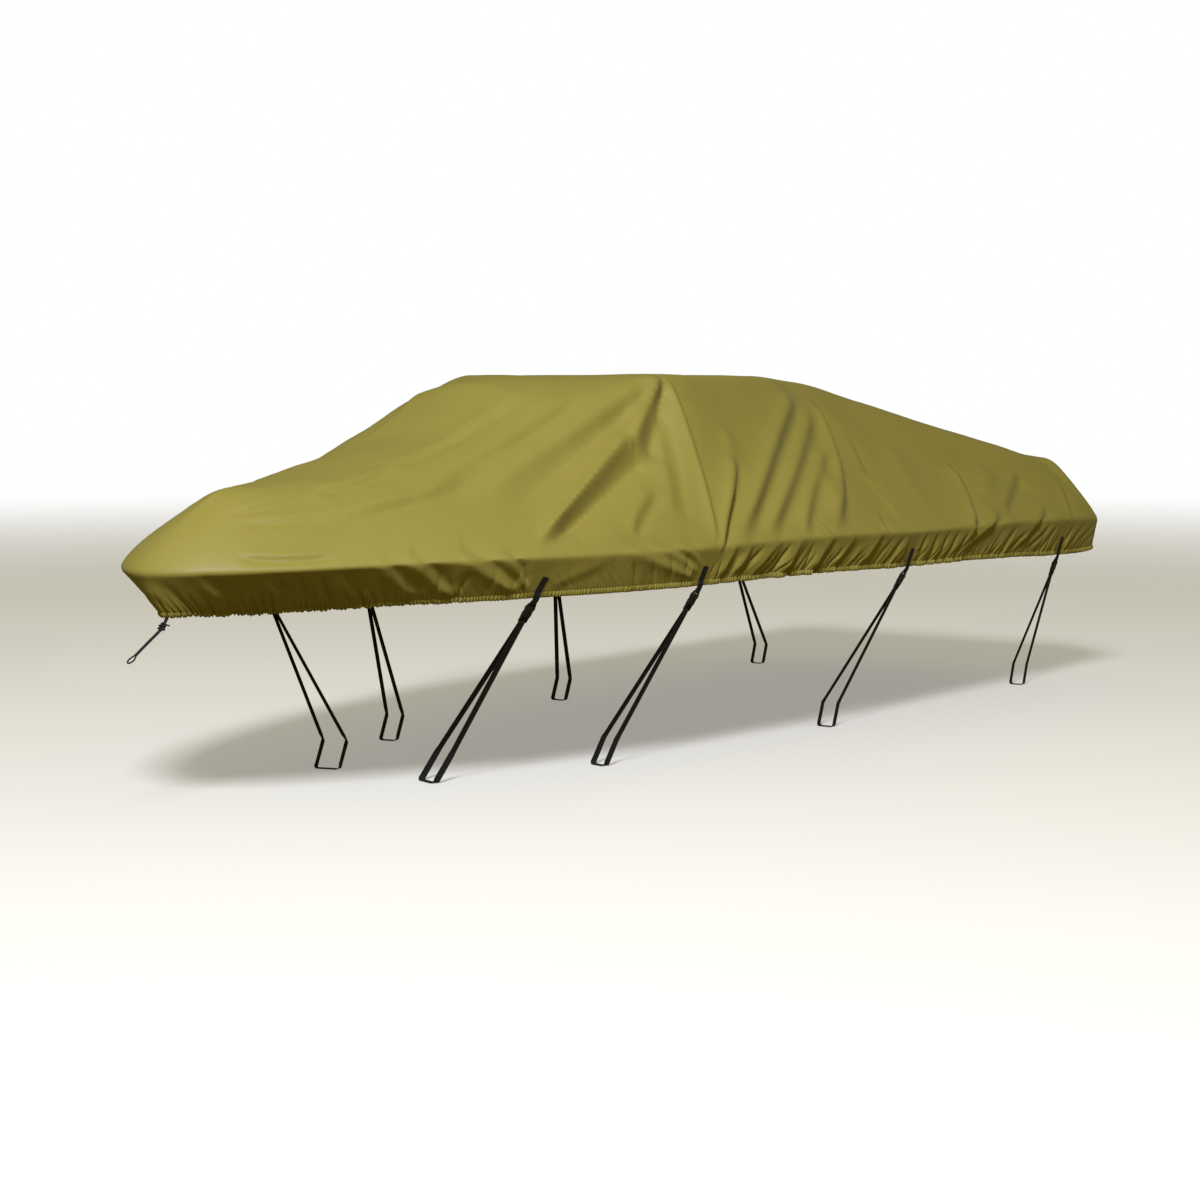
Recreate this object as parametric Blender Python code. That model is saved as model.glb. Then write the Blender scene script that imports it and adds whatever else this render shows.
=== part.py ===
"""Fitted boat cover: one cloth shell with its skirt gathered in under the knuckle edge, four tie-down
straps a side (a sewn tab, a side-release buckle and a doubled webbing leg) and a knotted cord at the nose.

Frame: +X runs from the nose to the tail, -Y is the port side and +Z is up. The origin is on the inner
face of the cloth, on the centreline under the level ridge, where the cloth rests on its support.
Stations are metres from the nose tip, heights are metres above the knuckle edge at the nose.
"""
import math

import bmesh
import bpy
import numpy as np
from mathutils import Matrix

# Driving sizes in metres.
CLOTH = 0.003
TOUCH = 0.0003
LENGTH = 5.89
HALF_BEAM = 1.065
WIDEST = 3.60
NOSE_FULLNESS = 1.10
TAIL_HALF = 1.045
TAIL_CORNER = 0.12
SPINE_START = 0.42
SPINE_END = 5.32
SHOULDER_ROUND = 0.045
SUPPORT_STATION = 2.90

# Mesh density: columns on one side, rows up the canopy and rows down the skirt.
HALF_COLUMNS = 66
CANOPY_ROWS = 11
SKIRT_ROWS = 3
ROW_CROWDING = 1.25
SHELL_LIMIT = 1.5

# One row for each cross-section. edge_z is the knuckle edge, crown_z the centreline, side_run and
# side_rise reach from the edge to the shoulder, side_bulge bows that side (below 1) or hollows it,
# skirt_drop and skirt_tuck take the hem down and in from the edge.
SECTION_COLUMNS = ("station", "edge_z", "crown_z", "side_run", "side_rise", "side_bulge",
                   "skirt_drop", "skirt_tuck")
SECTIONS = (
    (0.00, 0.000, 0.000, 0.36, 0.272, 0.72, 0.160, 0.118),
    (0.10, 0.003, 0.165, 0.35, 0.283, 0.72, 0.164, 0.188),
    (0.30, 0.008, 0.268, 0.36, 0.290, 0.76, 0.168, 0.222),
    (0.55, 0.014, 0.293, 0.37, 0.280, 0.82, 0.165, 0.190),
    (0.85, 0.018, 0.326, 0.39, 0.296, 0.88, 0.162, 0.135),
    (1.20, 0.018, 0.402, 0.42, 0.345, 0.95, 0.161, 0.088),
    (1.42, 0.017, 0.455, 0.43, 0.393, 0.98, 0.160, 0.072),
    (1.65, 0.015, 0.573, 0.44, 0.450, 1.00, 0.159, 0.062),
    (1.85, 0.014, 0.682, 0.45, 0.515, 1.00, 0.158, 0.057),
    (2.10, 0.013, 0.709, 0.46, 0.600, 1.00, 0.157, 0.054),
    (2.48, 0.019, 0.712, 0.47, 0.695, 1.03, 0.159, 0.052),
    (3.00, 0.023, 0.712, 0.53, 0.690, 1.10, 0.164, 0.050),
    (3.50, 0.013, 0.710, 0.60, 0.688, 1.12, 0.165, 0.050),
    (3.87, 0.005, 0.688, 0.64, 0.675, 1.12, 0.164, 0.049),
    (4.35, 0.003, 0.612, 0.60, 0.585, 1.06, 0.168, 0.048),
    (4.80, 0.001, 0.525, 0.50, 0.480, 1.00, 0.177, 0.047),
    (5.25, -0.009, 0.435, 0.37, 0.385, 0.95, 0.184, 0.046),
    (5.60, -0.020, 0.358, 0.26, 0.322, 0.90, 0.181, 0.045),
    (5.89, -0.032, 0.310, 0.24, 0.310, 0.88, 0.158, 0.030),
)
# The tail panel's own run, rise and bulge, from the tail edge up to the rear shoulder.
TAIL_PANEL = {"side_run": 0.25, "side_rise": 0.33, "side_bulge": 0.86}


def column(name):
    """One column of the section table as an array."""
    return np.array([row[SECTION_COLUMNS.index(name)] for row in SECTIONS], dtype=float)


def along(name, station):
    """A column's value at any station, on a smooth curve that never overshoots its rows."""
    knots = column("station")
    values = column(name)
    gaps = np.diff(knots)
    rates = np.diff(values) / gaps
    slopes = np.empty(len(knots))
    slopes[0] = rates[0]
    slopes[-1] = rates[-1]
    before = rates[:-1]
    after = rates[1:]
    same_way = before * after > 0.0
    total = np.where(same_way, before + after, 1.0)
    slopes[1:-1] = np.where(same_way, 2.0 * before * after / total, 0.0)
    station = np.clip(np.asarray(station, dtype=float), knots[0], knots[-1])
    index = np.clip(np.searchsorted(knots, station, side="right") - 1, 0, len(gaps) - 1)
    gap = gaps[index]
    t = (station - knots[index]) / gap
    ease_in = (1.0 + 2.0 * t) * (1.0 - t) ** 2
    ease_out = t * t * (3.0 - 2.0 * t)
    pull_in = t * (1.0 - t) ** 2 * gap
    pull_out = t * t * (t - 1.0) * gap
    return (ease_in * values[index] + ease_out * values[index + 1]
            + pull_in * slopes[index] + pull_out * slopes[index + 1])


def edge_outline():
    """Plan of one side's knuckle edge, nose to the middle of the tail, as x, y and run of edge."""
    sweep = np.linspace(0.0, math.pi / 2, 400)
    nose_x = WIDEST * (1.0 - np.cos(sweep))
    nose_y = HALF_BEAM * np.sin(sweep) ** NOSE_FULLNESS
    corner_x = LENGTH - TAIL_CORNER
    side_x = np.linspace(WIDEST, corner_x, 200)[1:]
    side_y = HALF_BEAM - (HALF_BEAM - TAIL_HALF) * ((side_x - WIDEST) / (corner_x - WIDEST)) ** 2
    turn = np.linspace(0.0, math.pi / 2, 60)[1:]
    turn_x = corner_x + TAIL_CORNER * np.sin(turn)
    turn_y = TAIL_HALF - TAIL_CORNER + TAIL_CORNER * np.cos(turn)
    tail_y = np.linspace(TAIL_HALF - TAIL_CORNER, 0.0, 100)[1:]
    tail_x = np.full(len(tail_y), LENGTH)
    x = np.concatenate([nose_x, side_x, turn_x, tail_x])
    y = np.concatenate([nose_y, side_y, turn_y, tail_y])
    run = np.concatenate([[0.0], np.cumsum(np.hypot(np.diff(x), np.diff(y)))])
    return x, y, run


EDGE_X, EDGE_Y, EDGE_RUN = edge_outline()
HALF_EDGE = float(EDGE_RUN[-1])
SKIRT_COLUMN = HALF_EDGE / (2 * HALF_COLUMNS)


def edge_frame(run):
    """Points and outward normals of the knuckle edge in plan, at distances along it from the nose."""
    step = 0.01
    run = np.asarray(run, dtype=float)
    before = np.clip(run - step, 0.0, HALF_EDGE)
    after = np.clip(run + step, 0.0, HALF_EDGE)
    point = np.stack([np.interp(run, EDGE_RUN, EDGE_X), np.interp(run, EDGE_RUN, EDGE_Y)], -1)
    ahead = np.stack([np.interp(after, EDGE_RUN, EDGE_X) - np.interp(before, EDGE_RUN, EDGE_X),
                      np.interp(after, EDGE_RUN, EDGE_Y) - np.interp(before, EDGE_RUN, EDGE_Y)], -1)
    ahead /= np.linalg.norm(ahead, axis=-1, keepdims=True)
    normal = np.stack([-ahead[..., 1], ahead[..., 0]], -1)
    normal[run <= 1e-6] = (-1.0, 0.0)
    normal[run >= HALF_EDGE - 1e-6] = (1.0, 0.0)
    return point, normal


def half_beam_at(x):
    """Half the beam of the knuckle edge at a station, before the tail's corner is rounded."""
    forward = np.clip(1.0 - (1.0 - x / WIDEST) ** 2, 0.0, 1.0) ** (NOSE_FULLNESS / 2)
    aft = (np.maximum(x - WIDEST, 0.0) / (LENGTH - TAIL_CORNER - WIDEST)) ** 2
    return np.where(x < WIDEST, HALF_BEAM * forward, HALF_BEAM - (HALF_BEAM - TAIL_HALF) * aft)


def round_min(a, b, size):
    """The lower of two heights, with the crease between them rounded over."""
    mix = np.clip(0.5 + 0.5 * (b - a) / size, 0.0, 1.0)
    return b + (a - b) * mix - size * mix * (1.0 - mix)


def smooth_skin(run, level):
    """The cloth without its folds, for the starboard side (+Y).

    run is the distance along the knuckle edge from the nose; level is -1 at the hem, 0 at the
    knuckle edge and 1 on the centreline. The arrays are broadcast together.
    """
    run, level = np.broadcast_arrays(np.asarray(run, dtype=float), np.asarray(level, dtype=float))
    point, normal = edge_frame(run)
    share = 0.85 * point[..., 0] / LENGTH + 0.15 * run / HALF_EDGE
    spine = np.stack([SPINE_START + (SPINE_END - SPINE_START) * share, np.zeros(run.shape)], -1)
    reach = spine - point
    inboard = -(reach * normal).sum(-1)
    up = np.clip(level, 0.0, 1.0)
    plan = point + reach * up[..., None]
    x = plan[..., 0]
    y = plan[..., 1]
    station = point[..., 0]
    tail = np.clip(normal[..., 0], 0.0, 1.0) ** 2
    side = {}
    for name in TAIL_PANEL:
        side[name] = along(name, station) * (1.0 - tail) + TAIL_PANEL[name] * tail
    edge_z = along("edge_z", station)
    wall = edge_z + side["side_rise"] * (inboard * up / side["side_run"]) ** side["side_bulge"]
    shoulder_y = np.maximum(half_beam_at(x) - along("side_run", x), 0.06)
    shoulder_z = along("side_rise", x) + along("edge_z", x)
    crown_z = np.maximum(along("crown_z", x), shoulder_z)
    roof = crown_z - (crown_z - shoulder_z) * (y / shoulder_y) ** 2
    z = np.maximum(round_min(wall, roof, SHOULDER_ROUND), edge_z)
    z = np.where(up > 0.0, z, edge_z)
    down = np.clip(-level, 0.0, 1.0)
    tuck = along("skirt_tuck", station) * down
    x = x - normal[..., 0] * tuck
    y = y - normal[..., 1] * tuck
    z = z - along("skirt_drop", station) * down
    return np.stack([x, y, z], -1)


# Main folds of each side, from their head near the ridge to their foot near the edge. run is the
# distance along the knuckle edge from the nose, girth the distance up the cloth from that edge.
# A positive height is a ridge and a negative one a trough; half_width is measured on the cloth.
FOLD_COLUMNS = ("head_run", "head_girth", "foot_run", "foot_girth", "half_width", "height")
PORT_FOLDS = (
    # the deep pleat that falls forward from the front support, with its sharp lip
    (2.73, 0.84, 1.60, 0.08, 0.050, 0.024),
    (2.82, 0.80, 1.74, 0.09, 0.060, -0.042),
    # soft slack troughs across the foredeck panel
    (2.64, 0.84, 1.45, 0.34, 0.110, -0.020),
    (2.24, 0.82, 1.05, 0.46, 0.120, -0.016),
    # creases drawn down to the second strap
    (2.90, 0.84, 2.50, -0.08, 0.045, -0.022),
    (2.74, 0.62, 2.28, 0.06, 0.110, 0.020),
    (4.10, 0.90, 2.60, -0.04, 0.055, 0.024),
    (4.20, 0.90, 2.72, -0.02, 0.055, -0.026),
    # folds that hang from the second support
    (4.24, 0.90, 2.99, 0.02, 0.055, -0.022),
    (4.30, 0.84, 3.38, 0.02, 0.055, 0.022),
    (4.34, 0.66, 3.50, 0.02, 0.050, -0.022),
    (4.26, 0.48, 4.05, -0.06, 0.050, -0.016),
    # slack over the aft side and the tail corner
    (5.14, 0.46, 4.70, 0.02, 0.055, 0.014),
    (5.22, 0.36, 4.52, -0.12, 0.050, -0.014),
    (5.64, 0.36, 5.12, 0.03, 0.080, -0.014),
    (5.44, 0.12, 5.10, -0.14, 0.045, 0.012),
    (5.99, 0.32, 5.76, -0.02, 0.055, 0.013),
)
STARBOARD_FOLDS = (
    (2.78, 0.84, 1.72, 0.08, 0.055, 0.020),
    (2.88, 0.80, 1.86, 0.09, 0.062, -0.034),
    (2.60, 0.84, 1.38, 0.38, 0.120, -0.018),
    (2.96, 0.84, 2.54, -0.06, 0.045, -0.020),
    (2.80, 0.62, 2.34, 0.06, 0.110, 0.016),
    (4.16, 0.90, 2.70, -0.02, 0.055, 0.020),
    (4.26, 0.90, 2.86, 0.00, 0.055, -0.024),
    (4.34, 0.84, 3.30, 0.02, 0.060, 0.020),
    (4.40, 0.66, 3.62, 0.02, 0.055, -0.022),
    (4.32, 0.46, 4.10, -0.05, 0.050, -0.014),
    (5.20, 0.44, 4.80, 0.02, 0.055, 0.014),
    (5.34, 0.36, 4.66, -0.12, 0.055, -0.014),
    (5.74, 0.36, 5.30, 0.03, 0.080, -0.012),
    (6.04, 0.32, 5.84, -0.02, 0.055, 0.012),
)
FOLD_POINTS = 7
FOLD_FADE_IN = 0.14
FOLD_FADE_OUT = 0.18

# The elastic hem draws the skirt into slanting gathers, flat under each sewn tab.
GATHER_PITCH = 0.175
GATHER_DEPTH = 0.013
GATHER_SLANT = 0.55
GATHER_TURN = 2.50
GATHER_WANDER = 0.045
TAB_FLAT = 0.032
TAB_BLEND = 0.075

# Straps: run is the tab's place along the knuckle edge, foot_x and foot_y the middle of the loop's
# mouth on starboard, foot_gap the width that the loop spans and foot_turn its yaw in degrees.
# foot_slide is how far forward the loop's bottom lies of its mouth, and tab_lean how far aft the
# tab's sewn end lies of its place on the hem.
STRAP_COLUMNS = ("run", "foot_x", "foot_y", "foot_gap", "foot_turn", "foot_slide", "tab_lean")
STRAPS = (
    (1.59, 1.31, 0.290, 0.105, 18.0, 0.075, 0.020),
    (2.49, 2.02, 0.585, 0.080, 13.0, 0.060, 0.010),
    (4.05, 3.50, 0.765, 0.080, 0.0, 0.040, 0.010),
    (5.71, 5.40, 0.800, 0.075, 0.0, 0.035, 0.010),
)
FOOT_TOP = -0.778
FOOT_BOTTOM = -0.882
FOOT_CORNER = 0.014
WEB_WIDTH = 0.030
WEB_THICK = 0.002
TAB_START = 0.47
TAB_PAST_HEM = 0.010
TAB_TAIL = 0.016
TAB_LIFT = 0.0005
BUCKLE_LENGTH = 0.088
BUCKLE_WIDTH = 0.044
BUCKLE_THICK = 0.013
BUCKLE_BEVEL = 0.002
# Half of the buckle's outline, face on: share of its length from the tab and share of its width.
BUCKLE_COLUMNS = ("down", "aside")
BUCKLE_OUTLINE = ((0.00, 0.40), (0.04, 0.48), (0.30, 0.50), (0.36, 0.43), (0.56, 0.43),
                  (0.62, 0.49), (0.72, 0.47), (0.96, 0.45), (1.00, 0.38))
LEG_SPREAD = 0.0016
LEG_POINTS = 7
BEND_POINTS = 4

# Cord at the nose: its knot, the two leads up into the hem and the loop below.
CORD = 0.006
KNOT_X = 0.100
KNOT_Z = -0.192
KNOT_LENGTH = 0.036
KNOT_RADIUS = 0.0125
EYE_X = -0.028
EYE_Z = -0.283
EYE_LENGTH = 0.045
EYE_WIDTH = 0.026
STRAND_GAP = 0.0045
LEAD_GAP = 0.0048
LEAD_BACK = 0.0055
LEAD_DROP = 0.0015
STRAIGHT_END = 0.005
KNOT_SIDES = 10
# Down the knot: share of its length and share of its widest radius.
KNOT_PROFILE = ((0.0, 0.55), (0.12, 0.88), (0.30, 0.98), (0.47, 0.72), (0.62, 0.96), (0.80, 1.0),
                (0.93, 0.70), (1.0, 0.55))


def rows_as_dicts(columns, rows):
    """Table rows with their columns' names."""
    return [dict(zip(columns, row)) for row in rows]


def ease(t):
    """A smooth step from 0 to 1 as t goes from 0 to 1."""
    t = np.clip(t, 0.0, 1.0)
    return t * t * (3.0 - 2.0 * t)


def tab_run(strap):
    """The place of a strap's tab along the edge, in the middle of a column of the skirt."""
    return (math.floor(strap["run"] / SKIRT_COLUMN) + 0.5) * SKIRT_COLUMN


def calm(run):
    """0 under a sewn tab, where the skirt lies flat, and 1 away from the tabs."""
    factor = np.ones(np.shape(run))
    for strap in rows_as_dicts(STRAP_COLUMNS, STRAPS):
        factor = factor * ease((np.abs(run - tab_run(strap)) - TAB_FLAT) / TAB_BLEND)
    return factor


def level_at_girth(run, girth):
    """The level of the smooth skin at a distance along the cloth from the knuckle edge."""
    end = 1.0 if girth >= 0.0 else -1.0
    levels = np.linspace(0.0, end, 60)
    line = smooth_skin(run, levels)
    length = np.concatenate([[0.0], np.cumsum(np.linalg.norm(np.diff(line, axis=0), axis=1))])
    return float(np.interp(abs(girth), length, levels))


def fold_line(fold):
    """Points of a fold's crest or valley on the smooth starboard skin."""
    points = []
    for t in np.linspace(0.0, 1.0, FOLD_POINTS):
        run = fold["head_run"] * (1.0 - t) + fold["foot_run"] * t
        girth = fold["head_girth"] * (1.0 - t) + fold["foot_girth"] * t
        points.append(smooth_skin(run, level_at_girth(run, girth)))
    return np.array(points)


def fold_heights(points, folds):
    """How far the folds lift or sink each point of a starboard-side array of points."""
    total = np.zeros(points.shape[:-1])
    for fold in rows_as_dicts(FOLD_COLUMNS, folds):
        line = fold_line(fold)
        nearest = np.full(total.shape, np.inf)
        place = np.zeros(total.shape)
        for index in range(len(line) - 1):
            leg = line[index + 1] - line[index]
            t = np.clip(((points - line[index]) @ leg) / (leg @ leg), 0.0, 1.0)
            distance = np.linalg.norm(points - line[index] - t[..., None] * leg, axis=-1)
            closer = distance < nearest
            nearest = np.where(closer, distance, nearest)
            place = np.where(closer, (index + t) / (len(line) - 1), place)
        fade = ease(place / FOLD_FADE_IN) * ease((1.0 - place) / FOLD_FADE_OUT)
        total += fold["height"] * fade * np.exp(-(nearest / fold["half_width"]) ** 2)
    return total


def gather_heights(run, level):
    """The slanting gathers of the skirt, deepest at the hem."""
    down = np.clip(-level, 0.0, 1.0)
    slant = GATHER_SLANT * np.tanh((GATHER_TURN - run) / 0.3)
    wander = GATHER_WANDER * np.sin(5.1 * run) + 0.6 * GATHER_WANDER * np.sin(11.7 * run + 1.3)
    phase = 2.0 * math.pi * (run - slant * down * 0.15 + wander) / GATHER_PITCH
    wave = np.sin(phase) + 0.35 * np.sin(2.0 * phase + 0.7)
    return GATHER_DEPTH * down ** 1.3 * wave


def folded_side(run, level, folds):
    """The folded cloth of one side, as starboard points (+Y)."""
    run, level = np.broadcast_arrays(np.asarray(run, dtype=float), np.asarray(level, dtype=float))
    skin = smooth_skin(run, level)
    step = 0.004
    aft = smooth_skin(np.minimum(run + step, HALF_EDGE), level)
    fore = smooth_skin(np.maximum(run - step, 0.0), level)
    above = smooth_skin(run, np.minimum(level + step, 1.0))
    below = smooth_skin(run, np.maximum(level - step, -1.0))
    normal = np.cross(above - below, aft - fore)
    normal /= np.maximum(np.linalg.norm(normal, axis=-1, keepdims=True), 1e-9)
    height = fold_heights(skin, folds) + gather_heights(run, level)
    height = np.where(level < 0.0, height * calm(run), height)
    ends = ease(run / 0.12) * ease((HALF_EDGE - run) / 0.12) * ease((1.0 - level) / 0.12)
    return skin + normal * (height * ends)[..., None]


ORIGIN = np.array([SUPPORT_STATION, 0.0, float(along("crown_z", SUPPORT_STATION)) - CLOTH])
SIDES = (("port", -1.0, PORT_FOLDS), ("starboard", 1.0, STARBOARD_FOLDS))


def clear_scene():
    """Start from an empty scene."""
    for thing in list(bpy.data.objects):
        bpy.data.objects.remove(thing, do_unlink=True)


def make_material(name, color, roughness):
    """A plain surface of one colour."""
    material = bpy.data.materials.new(name)
    material.use_nodes = True
    shader = material.node_tree.nodes["Principled BSDF"]
    shader.inputs["Base Color"].default_value = (*color, 1.0)
    shader.inputs["Roughness"].default_value = roughness
    shader.inputs["Metallic"].default_value = 0.0
    return material


def finish_piece(name, work, material):
    """Turn a bmesh into one named piece, moved so that the support point is the origin."""
    bmesh.ops.recalc_face_normals(work, faces=work.faces[:])
    bmesh.ops.triangulate(work, faces=work.faces[:])
    mesh = bpy.data.meshes.new(name)
    work.to_mesh(mesh)
    work.free()
    mesh.transform(Matrix.Translation(-ORIGIN))
    mesh.materials.append(material)
    piece = bpy.data.objects.new(name, mesh)
    bpy.context.scene.collection.objects.link(piece)
    return piece


def mirrored(points, sign):
    """Starboard points on their own side: +1 starboard, -1 port."""
    return points * np.array([1.0, sign, 1.0])


def ring_rows(levels, columns):
    """Closed rows of points round the cover at the given levels, from the nose down the port side."""
    runs = np.linspace(0.0, HALF_EDGE, columns + 1)
    halves = []
    for side, sign, folds in SIDES:
        points = folded_side(runs[None, :], np.array(levels)[:, None], folds)
        halves.append(mirrored(points, sign))
    port, starboard = halves
    return np.concatenate([port, starboard[:, columns - 1:0:-1]], axis=1)


def add_rows(work, rows):
    """Bmesh vertices for rows of points."""
    return [[work.verts.new(point) for point in row] for row in rows]


def cover_outside(work):
    """The outer face of the cloth: gathered skirt, knuckle edge and canopy up to the centreline."""
    skirt_levels = [-1.0 + step / SKIRT_ROWS for step in range(SKIRT_ROWS + 1)]
    canopy_levels = [(step / CANOPY_ROWS) ** ROW_CROWDING for step in range(CANOPY_ROWS + 1)]
    skirt = add_rows(work, ring_rows(skirt_levels, 2 * HALF_COLUMNS))
    canopy = add_rows(work, ring_rows(canopy_levels[1:], HALF_COLUMNS)[:-1])
    spine_rows = ring_rows([1.0], HALF_COLUMNS)
    spine = add_rows(work, spine_rows[:, :HALF_COLUMNS + 1])[0]
    fine = 4 * HALF_COLUMNS
    coarse = 2 * HALF_COLUMNS
    spine_ring = spine + spine[HALF_COLUMNS - 1:0:-1]
    for lower, upper in zip(skirt, skirt[1:]):
        for index in range(fine):
            after = (index + 1) % fine
            work.faces.new((lower[index], lower[after], upper[after], upper[index]))
    knuckle = skirt[-1]
    for index in range(coarse):
        after = (index + 1) % coarse
        low = (knuckle[2 * index], knuckle[2 * index + 1], knuckle[(2 * index + 2) % fine])
        work.faces.new((*low, canopy[0][after], canopy[0][index]))
    for lower, upper in zip(canopy, canopy[1:] + [spine_ring]):
        for index in range(coarse):
            after = (index + 1) % coarse
            work.faces.new((lower[index], lower[after], upper[after], upper[index]))
    return skirt[0]


def build_cover(material):
    """The cloth: an outer and an inner face a cloth's thickness apart, joined round the hem."""
    work = bmesh.new()
    hem = cover_outside(work)
    bmesh.ops.triangulate(work, faces=work.faces[:])
    work.normal_update()
    outside = work.faces[:]
    inner = {}
    for vert in work.verts[:]:
        depth = CLOTH * min(vert.calc_shell_factor(), SHELL_LIMIT)
        inner[vert] = vert.co - vert.normal * depth
    inner = {vert: work.verts.new(point) for vert, point in inner.items()}
    for face in outside:
        work.faces.new([inner[vert] for vert in reversed(face.verts)])
    for index, vert in enumerate(hem):
        after = hem[(index + 1) % len(hem)]
        work.faces.new((vert, inner[vert], inner[after], after))
    return finish_piece("cover", work, material)


def unit(vector):
    """A vector's direction."""
    return vector / np.linalg.norm(vector)


def strip(work, centres, across, width, thickness):
    """A flat strip along centres; across holds the direction of its width at each one."""
    centres = np.array(centres)
    tangents = np.gradient(centres, axis=0)
    rings = []
    for centre, tangent, wide in zip(centres, tangents, across):
        wide = unit(wide - unit(tangent) * (wide @ unit(tangent)))
        thick = np.cross(unit(tangent), wide) * thickness / 2
        wide = wide * width / 2
        corners = (centre + wide + thick, centre - wide + thick,
                   centre - wide - thick, centre + wide - thick)
        rings.append([work.verts.new(corner) for corner in corners])
    bridge(work, rings)


def bridge(work, rings):
    """Side faces between closed rings, and a cap on each end."""
    count = len(rings[0])
    for first, second in zip(rings, rings[1:]):
        for index in range(count):
            after = (index + 1) % count
            work.faces.new((first[index], first[after], second[after], second[index]))
    work.faces.new(rings[0])
    work.faces.new(rings[-1])


def tab_route(strap, folds):
    """Centres of a sewn tab down the skirt and past the hem, its width's direction and its normal."""
    middle = tab_run(strap)
    runs = np.array([middle - SKIRT_COLUMN / 2, middle + SKIRT_COLUMN / 2])
    corners = folded_side(runs[None, :], np.array([-TAB_START, -1.0])[:, None], folds)
    across = unit(corners[0, 1] - corners[0, 0] + corners[1, 1] - corners[1, 0])
    top = corners[0].mean(axis=0) + across * strap["tab_lean"]
    hem = corners[1].mean(axis=0)
    down = unit(hem - top)
    outward = unit(np.cross(across, down))
    across = np.cross(down, outward)
    outward = outward * np.sign(outward[1])
    lift = outward * (TAB_LIFT + WEB_THICK / 2)
    past = hem + down * TAB_PAST_HEM + lift
    aim = unit(foot_centre(strap) - past)
    return [top + lift, past, past + aim * TAB_TAIL], across, outward, aim


def foot_centre(strap):
    """The middle of the loop's mouth, level with the top of what it goes round."""
    return np.array([strap["foot_x"], strap["foot_y"], FOOT_TOP])


def buckle_outline():
    """The buckle seen face on, all the way round."""
    return list(BUCKLE_OUTLINE) + [(down, -aside) for down, aside in reversed(BUCKLE_OUTLINE)]


def buckle_frame(route, across, aim):
    """Where the buckle starts, and its axes along, across and out from the cloth."""
    start = route[-1] + aim * TOUCH
    wide = unit(across - aim * (across @ aim))
    outward = np.cross(wide, aim)
    outward = outward * np.sign(outward[1])
    return start, wide, outward


def build_buckle(name, sign, start, aim, wide, outward, material):
    """The closed side-release buckle, one solid with eased edges."""
    work = bmesh.new()
    lower = []
    upper = []
    for share, side in buckle_outline():
        centre = start + aim * (share * BUCKLE_LENGTH) + wide * (side * BUCKLE_WIDTH)
        lower.append(work.verts.new(mirrored(centre - outward * BUCKLE_THICK / 2, sign)))
        upper.append(work.verts.new(mirrored(centre + outward * BUCKLE_THICK / 2, sign)))
    bridge(work, [lower, upper])
    rims = [edge for edge in work.edges if len({vert in lower for vert in edge.verts}) == 1]
    bmesh.ops.recalc_face_normals(work, faces=work.faces[:])
    bmesh.ops.bevel(work, geom=rims, offset=BUCKLE_BEVEL, segments=1, affect="EDGES", profile=0.5)
    return finish_piece(name, work, material)


def loop_route(strap, start, aim, wide, outward):
    """Centres and widths of the webbing, down the outer leg, under, and up the inner leg."""
    end = start + aim * (BUCKLE_LENGTH + TOUCH)
    turn = math.radians(strap["foot_turn"])
    bar = np.array([math.cos(turn), math.sin(turn), 0.0])
    inward = np.array([math.sin(turn), -math.cos(turn), 0.0])
    centre = foot_centre(strap)
    outer = centre - inward * strap["foot_gap"] / 2
    inner = centre + inward * strap["foot_gap"] / 2
    spread = outward * (LEG_SPREAD + WEB_THICK / 2)
    points = []
    across = []
    for step in range(LEG_POINTS):
        t = step / (LEG_POINTS - 1)
        points.append((end + spread) * (1.0 - t) + outer * t)
        across.append(wide * (1.0 - t) + bar * t)
    floor = np.array([0.0, 0.0, FOOT_BOTTOM - FOOT_TOP]) - bar * strap["foot_slide"]
    for corner, first, second in ((outer + floor, -floor, inward), (inner + floor, -inward, -floor)):
        first = unit(first) * FOOT_CORNER
        second = unit(second) * FOOT_CORNER
        for step in range(BEND_POINTS):
            angle = math.pi / 2 * step / (BEND_POINTS - 1)
            points.append(corner + first * (1.0 - math.sin(angle)) + second * (1.0 - math.cos(angle)))
            across.append(bar)
    for step in range(LEG_POINTS):
        t = step / (LEG_POINTS - 1)
        points.append(inner * (1.0 - t) + (end - spread) * t)
        across.append(bar * (1.0 - t) + wide * t)
    return points, across


def build_straps(webbing, plastic):
    """Every tie-down: its sewn tab, its buckle and its doubled leg."""
    for side, sign, folds in SIDES:
        for number, strap in enumerate(rows_as_dicts(STRAP_COLUMNS, STRAPS), start=1):
            route, across, outward, aim = tab_route(strap, folds)
            work = bmesh.new()
            strip(work, mirrored(np.array(route), sign), mirrored(np.array([across] * 3), sign),
                  WEB_WIDTH, WEB_THICK)
            finish_piece(f"tab_{side}_{number}", work, webbing)
            start, wide, facing = buckle_frame(route, across, aim)
            build_buckle(f"buckle_{side}_{number}", sign, start, aim, wide, facing, plastic)
            points, widths = loop_route(strap, start, aim, wide, facing)
            work = bmesh.new()
            strip(work, mirrored(np.array(points), sign), mirrored(np.array(widths), sign),
                  WEB_WIDTH, WEB_THICK)
            finish_piece(f"leg_{side}_{number}", work, webbing)


def smooth_path(points, count):
    """A smooth curve through points, read at even parameter steps."""
    points = np.array(points, dtype=float)
    padded = np.concatenate([[2 * points[0] - points[1]], points, [2 * points[-1] - points[-2]]])
    path = []
    for place in np.linspace(0.0, len(points) - 1.0, count):
        index = min(int(place), len(points) - 2)
        t = place - index
        a, b, c, d = padded[index:index + 4]
        path.append(0.5 * (2 * b + (c - a) * t + (2 * a - 5 * b + 4 * c - d) * t ** 2
                           + (3 * b - a - 3 * c + d) * t ** 3))
    return path


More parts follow.
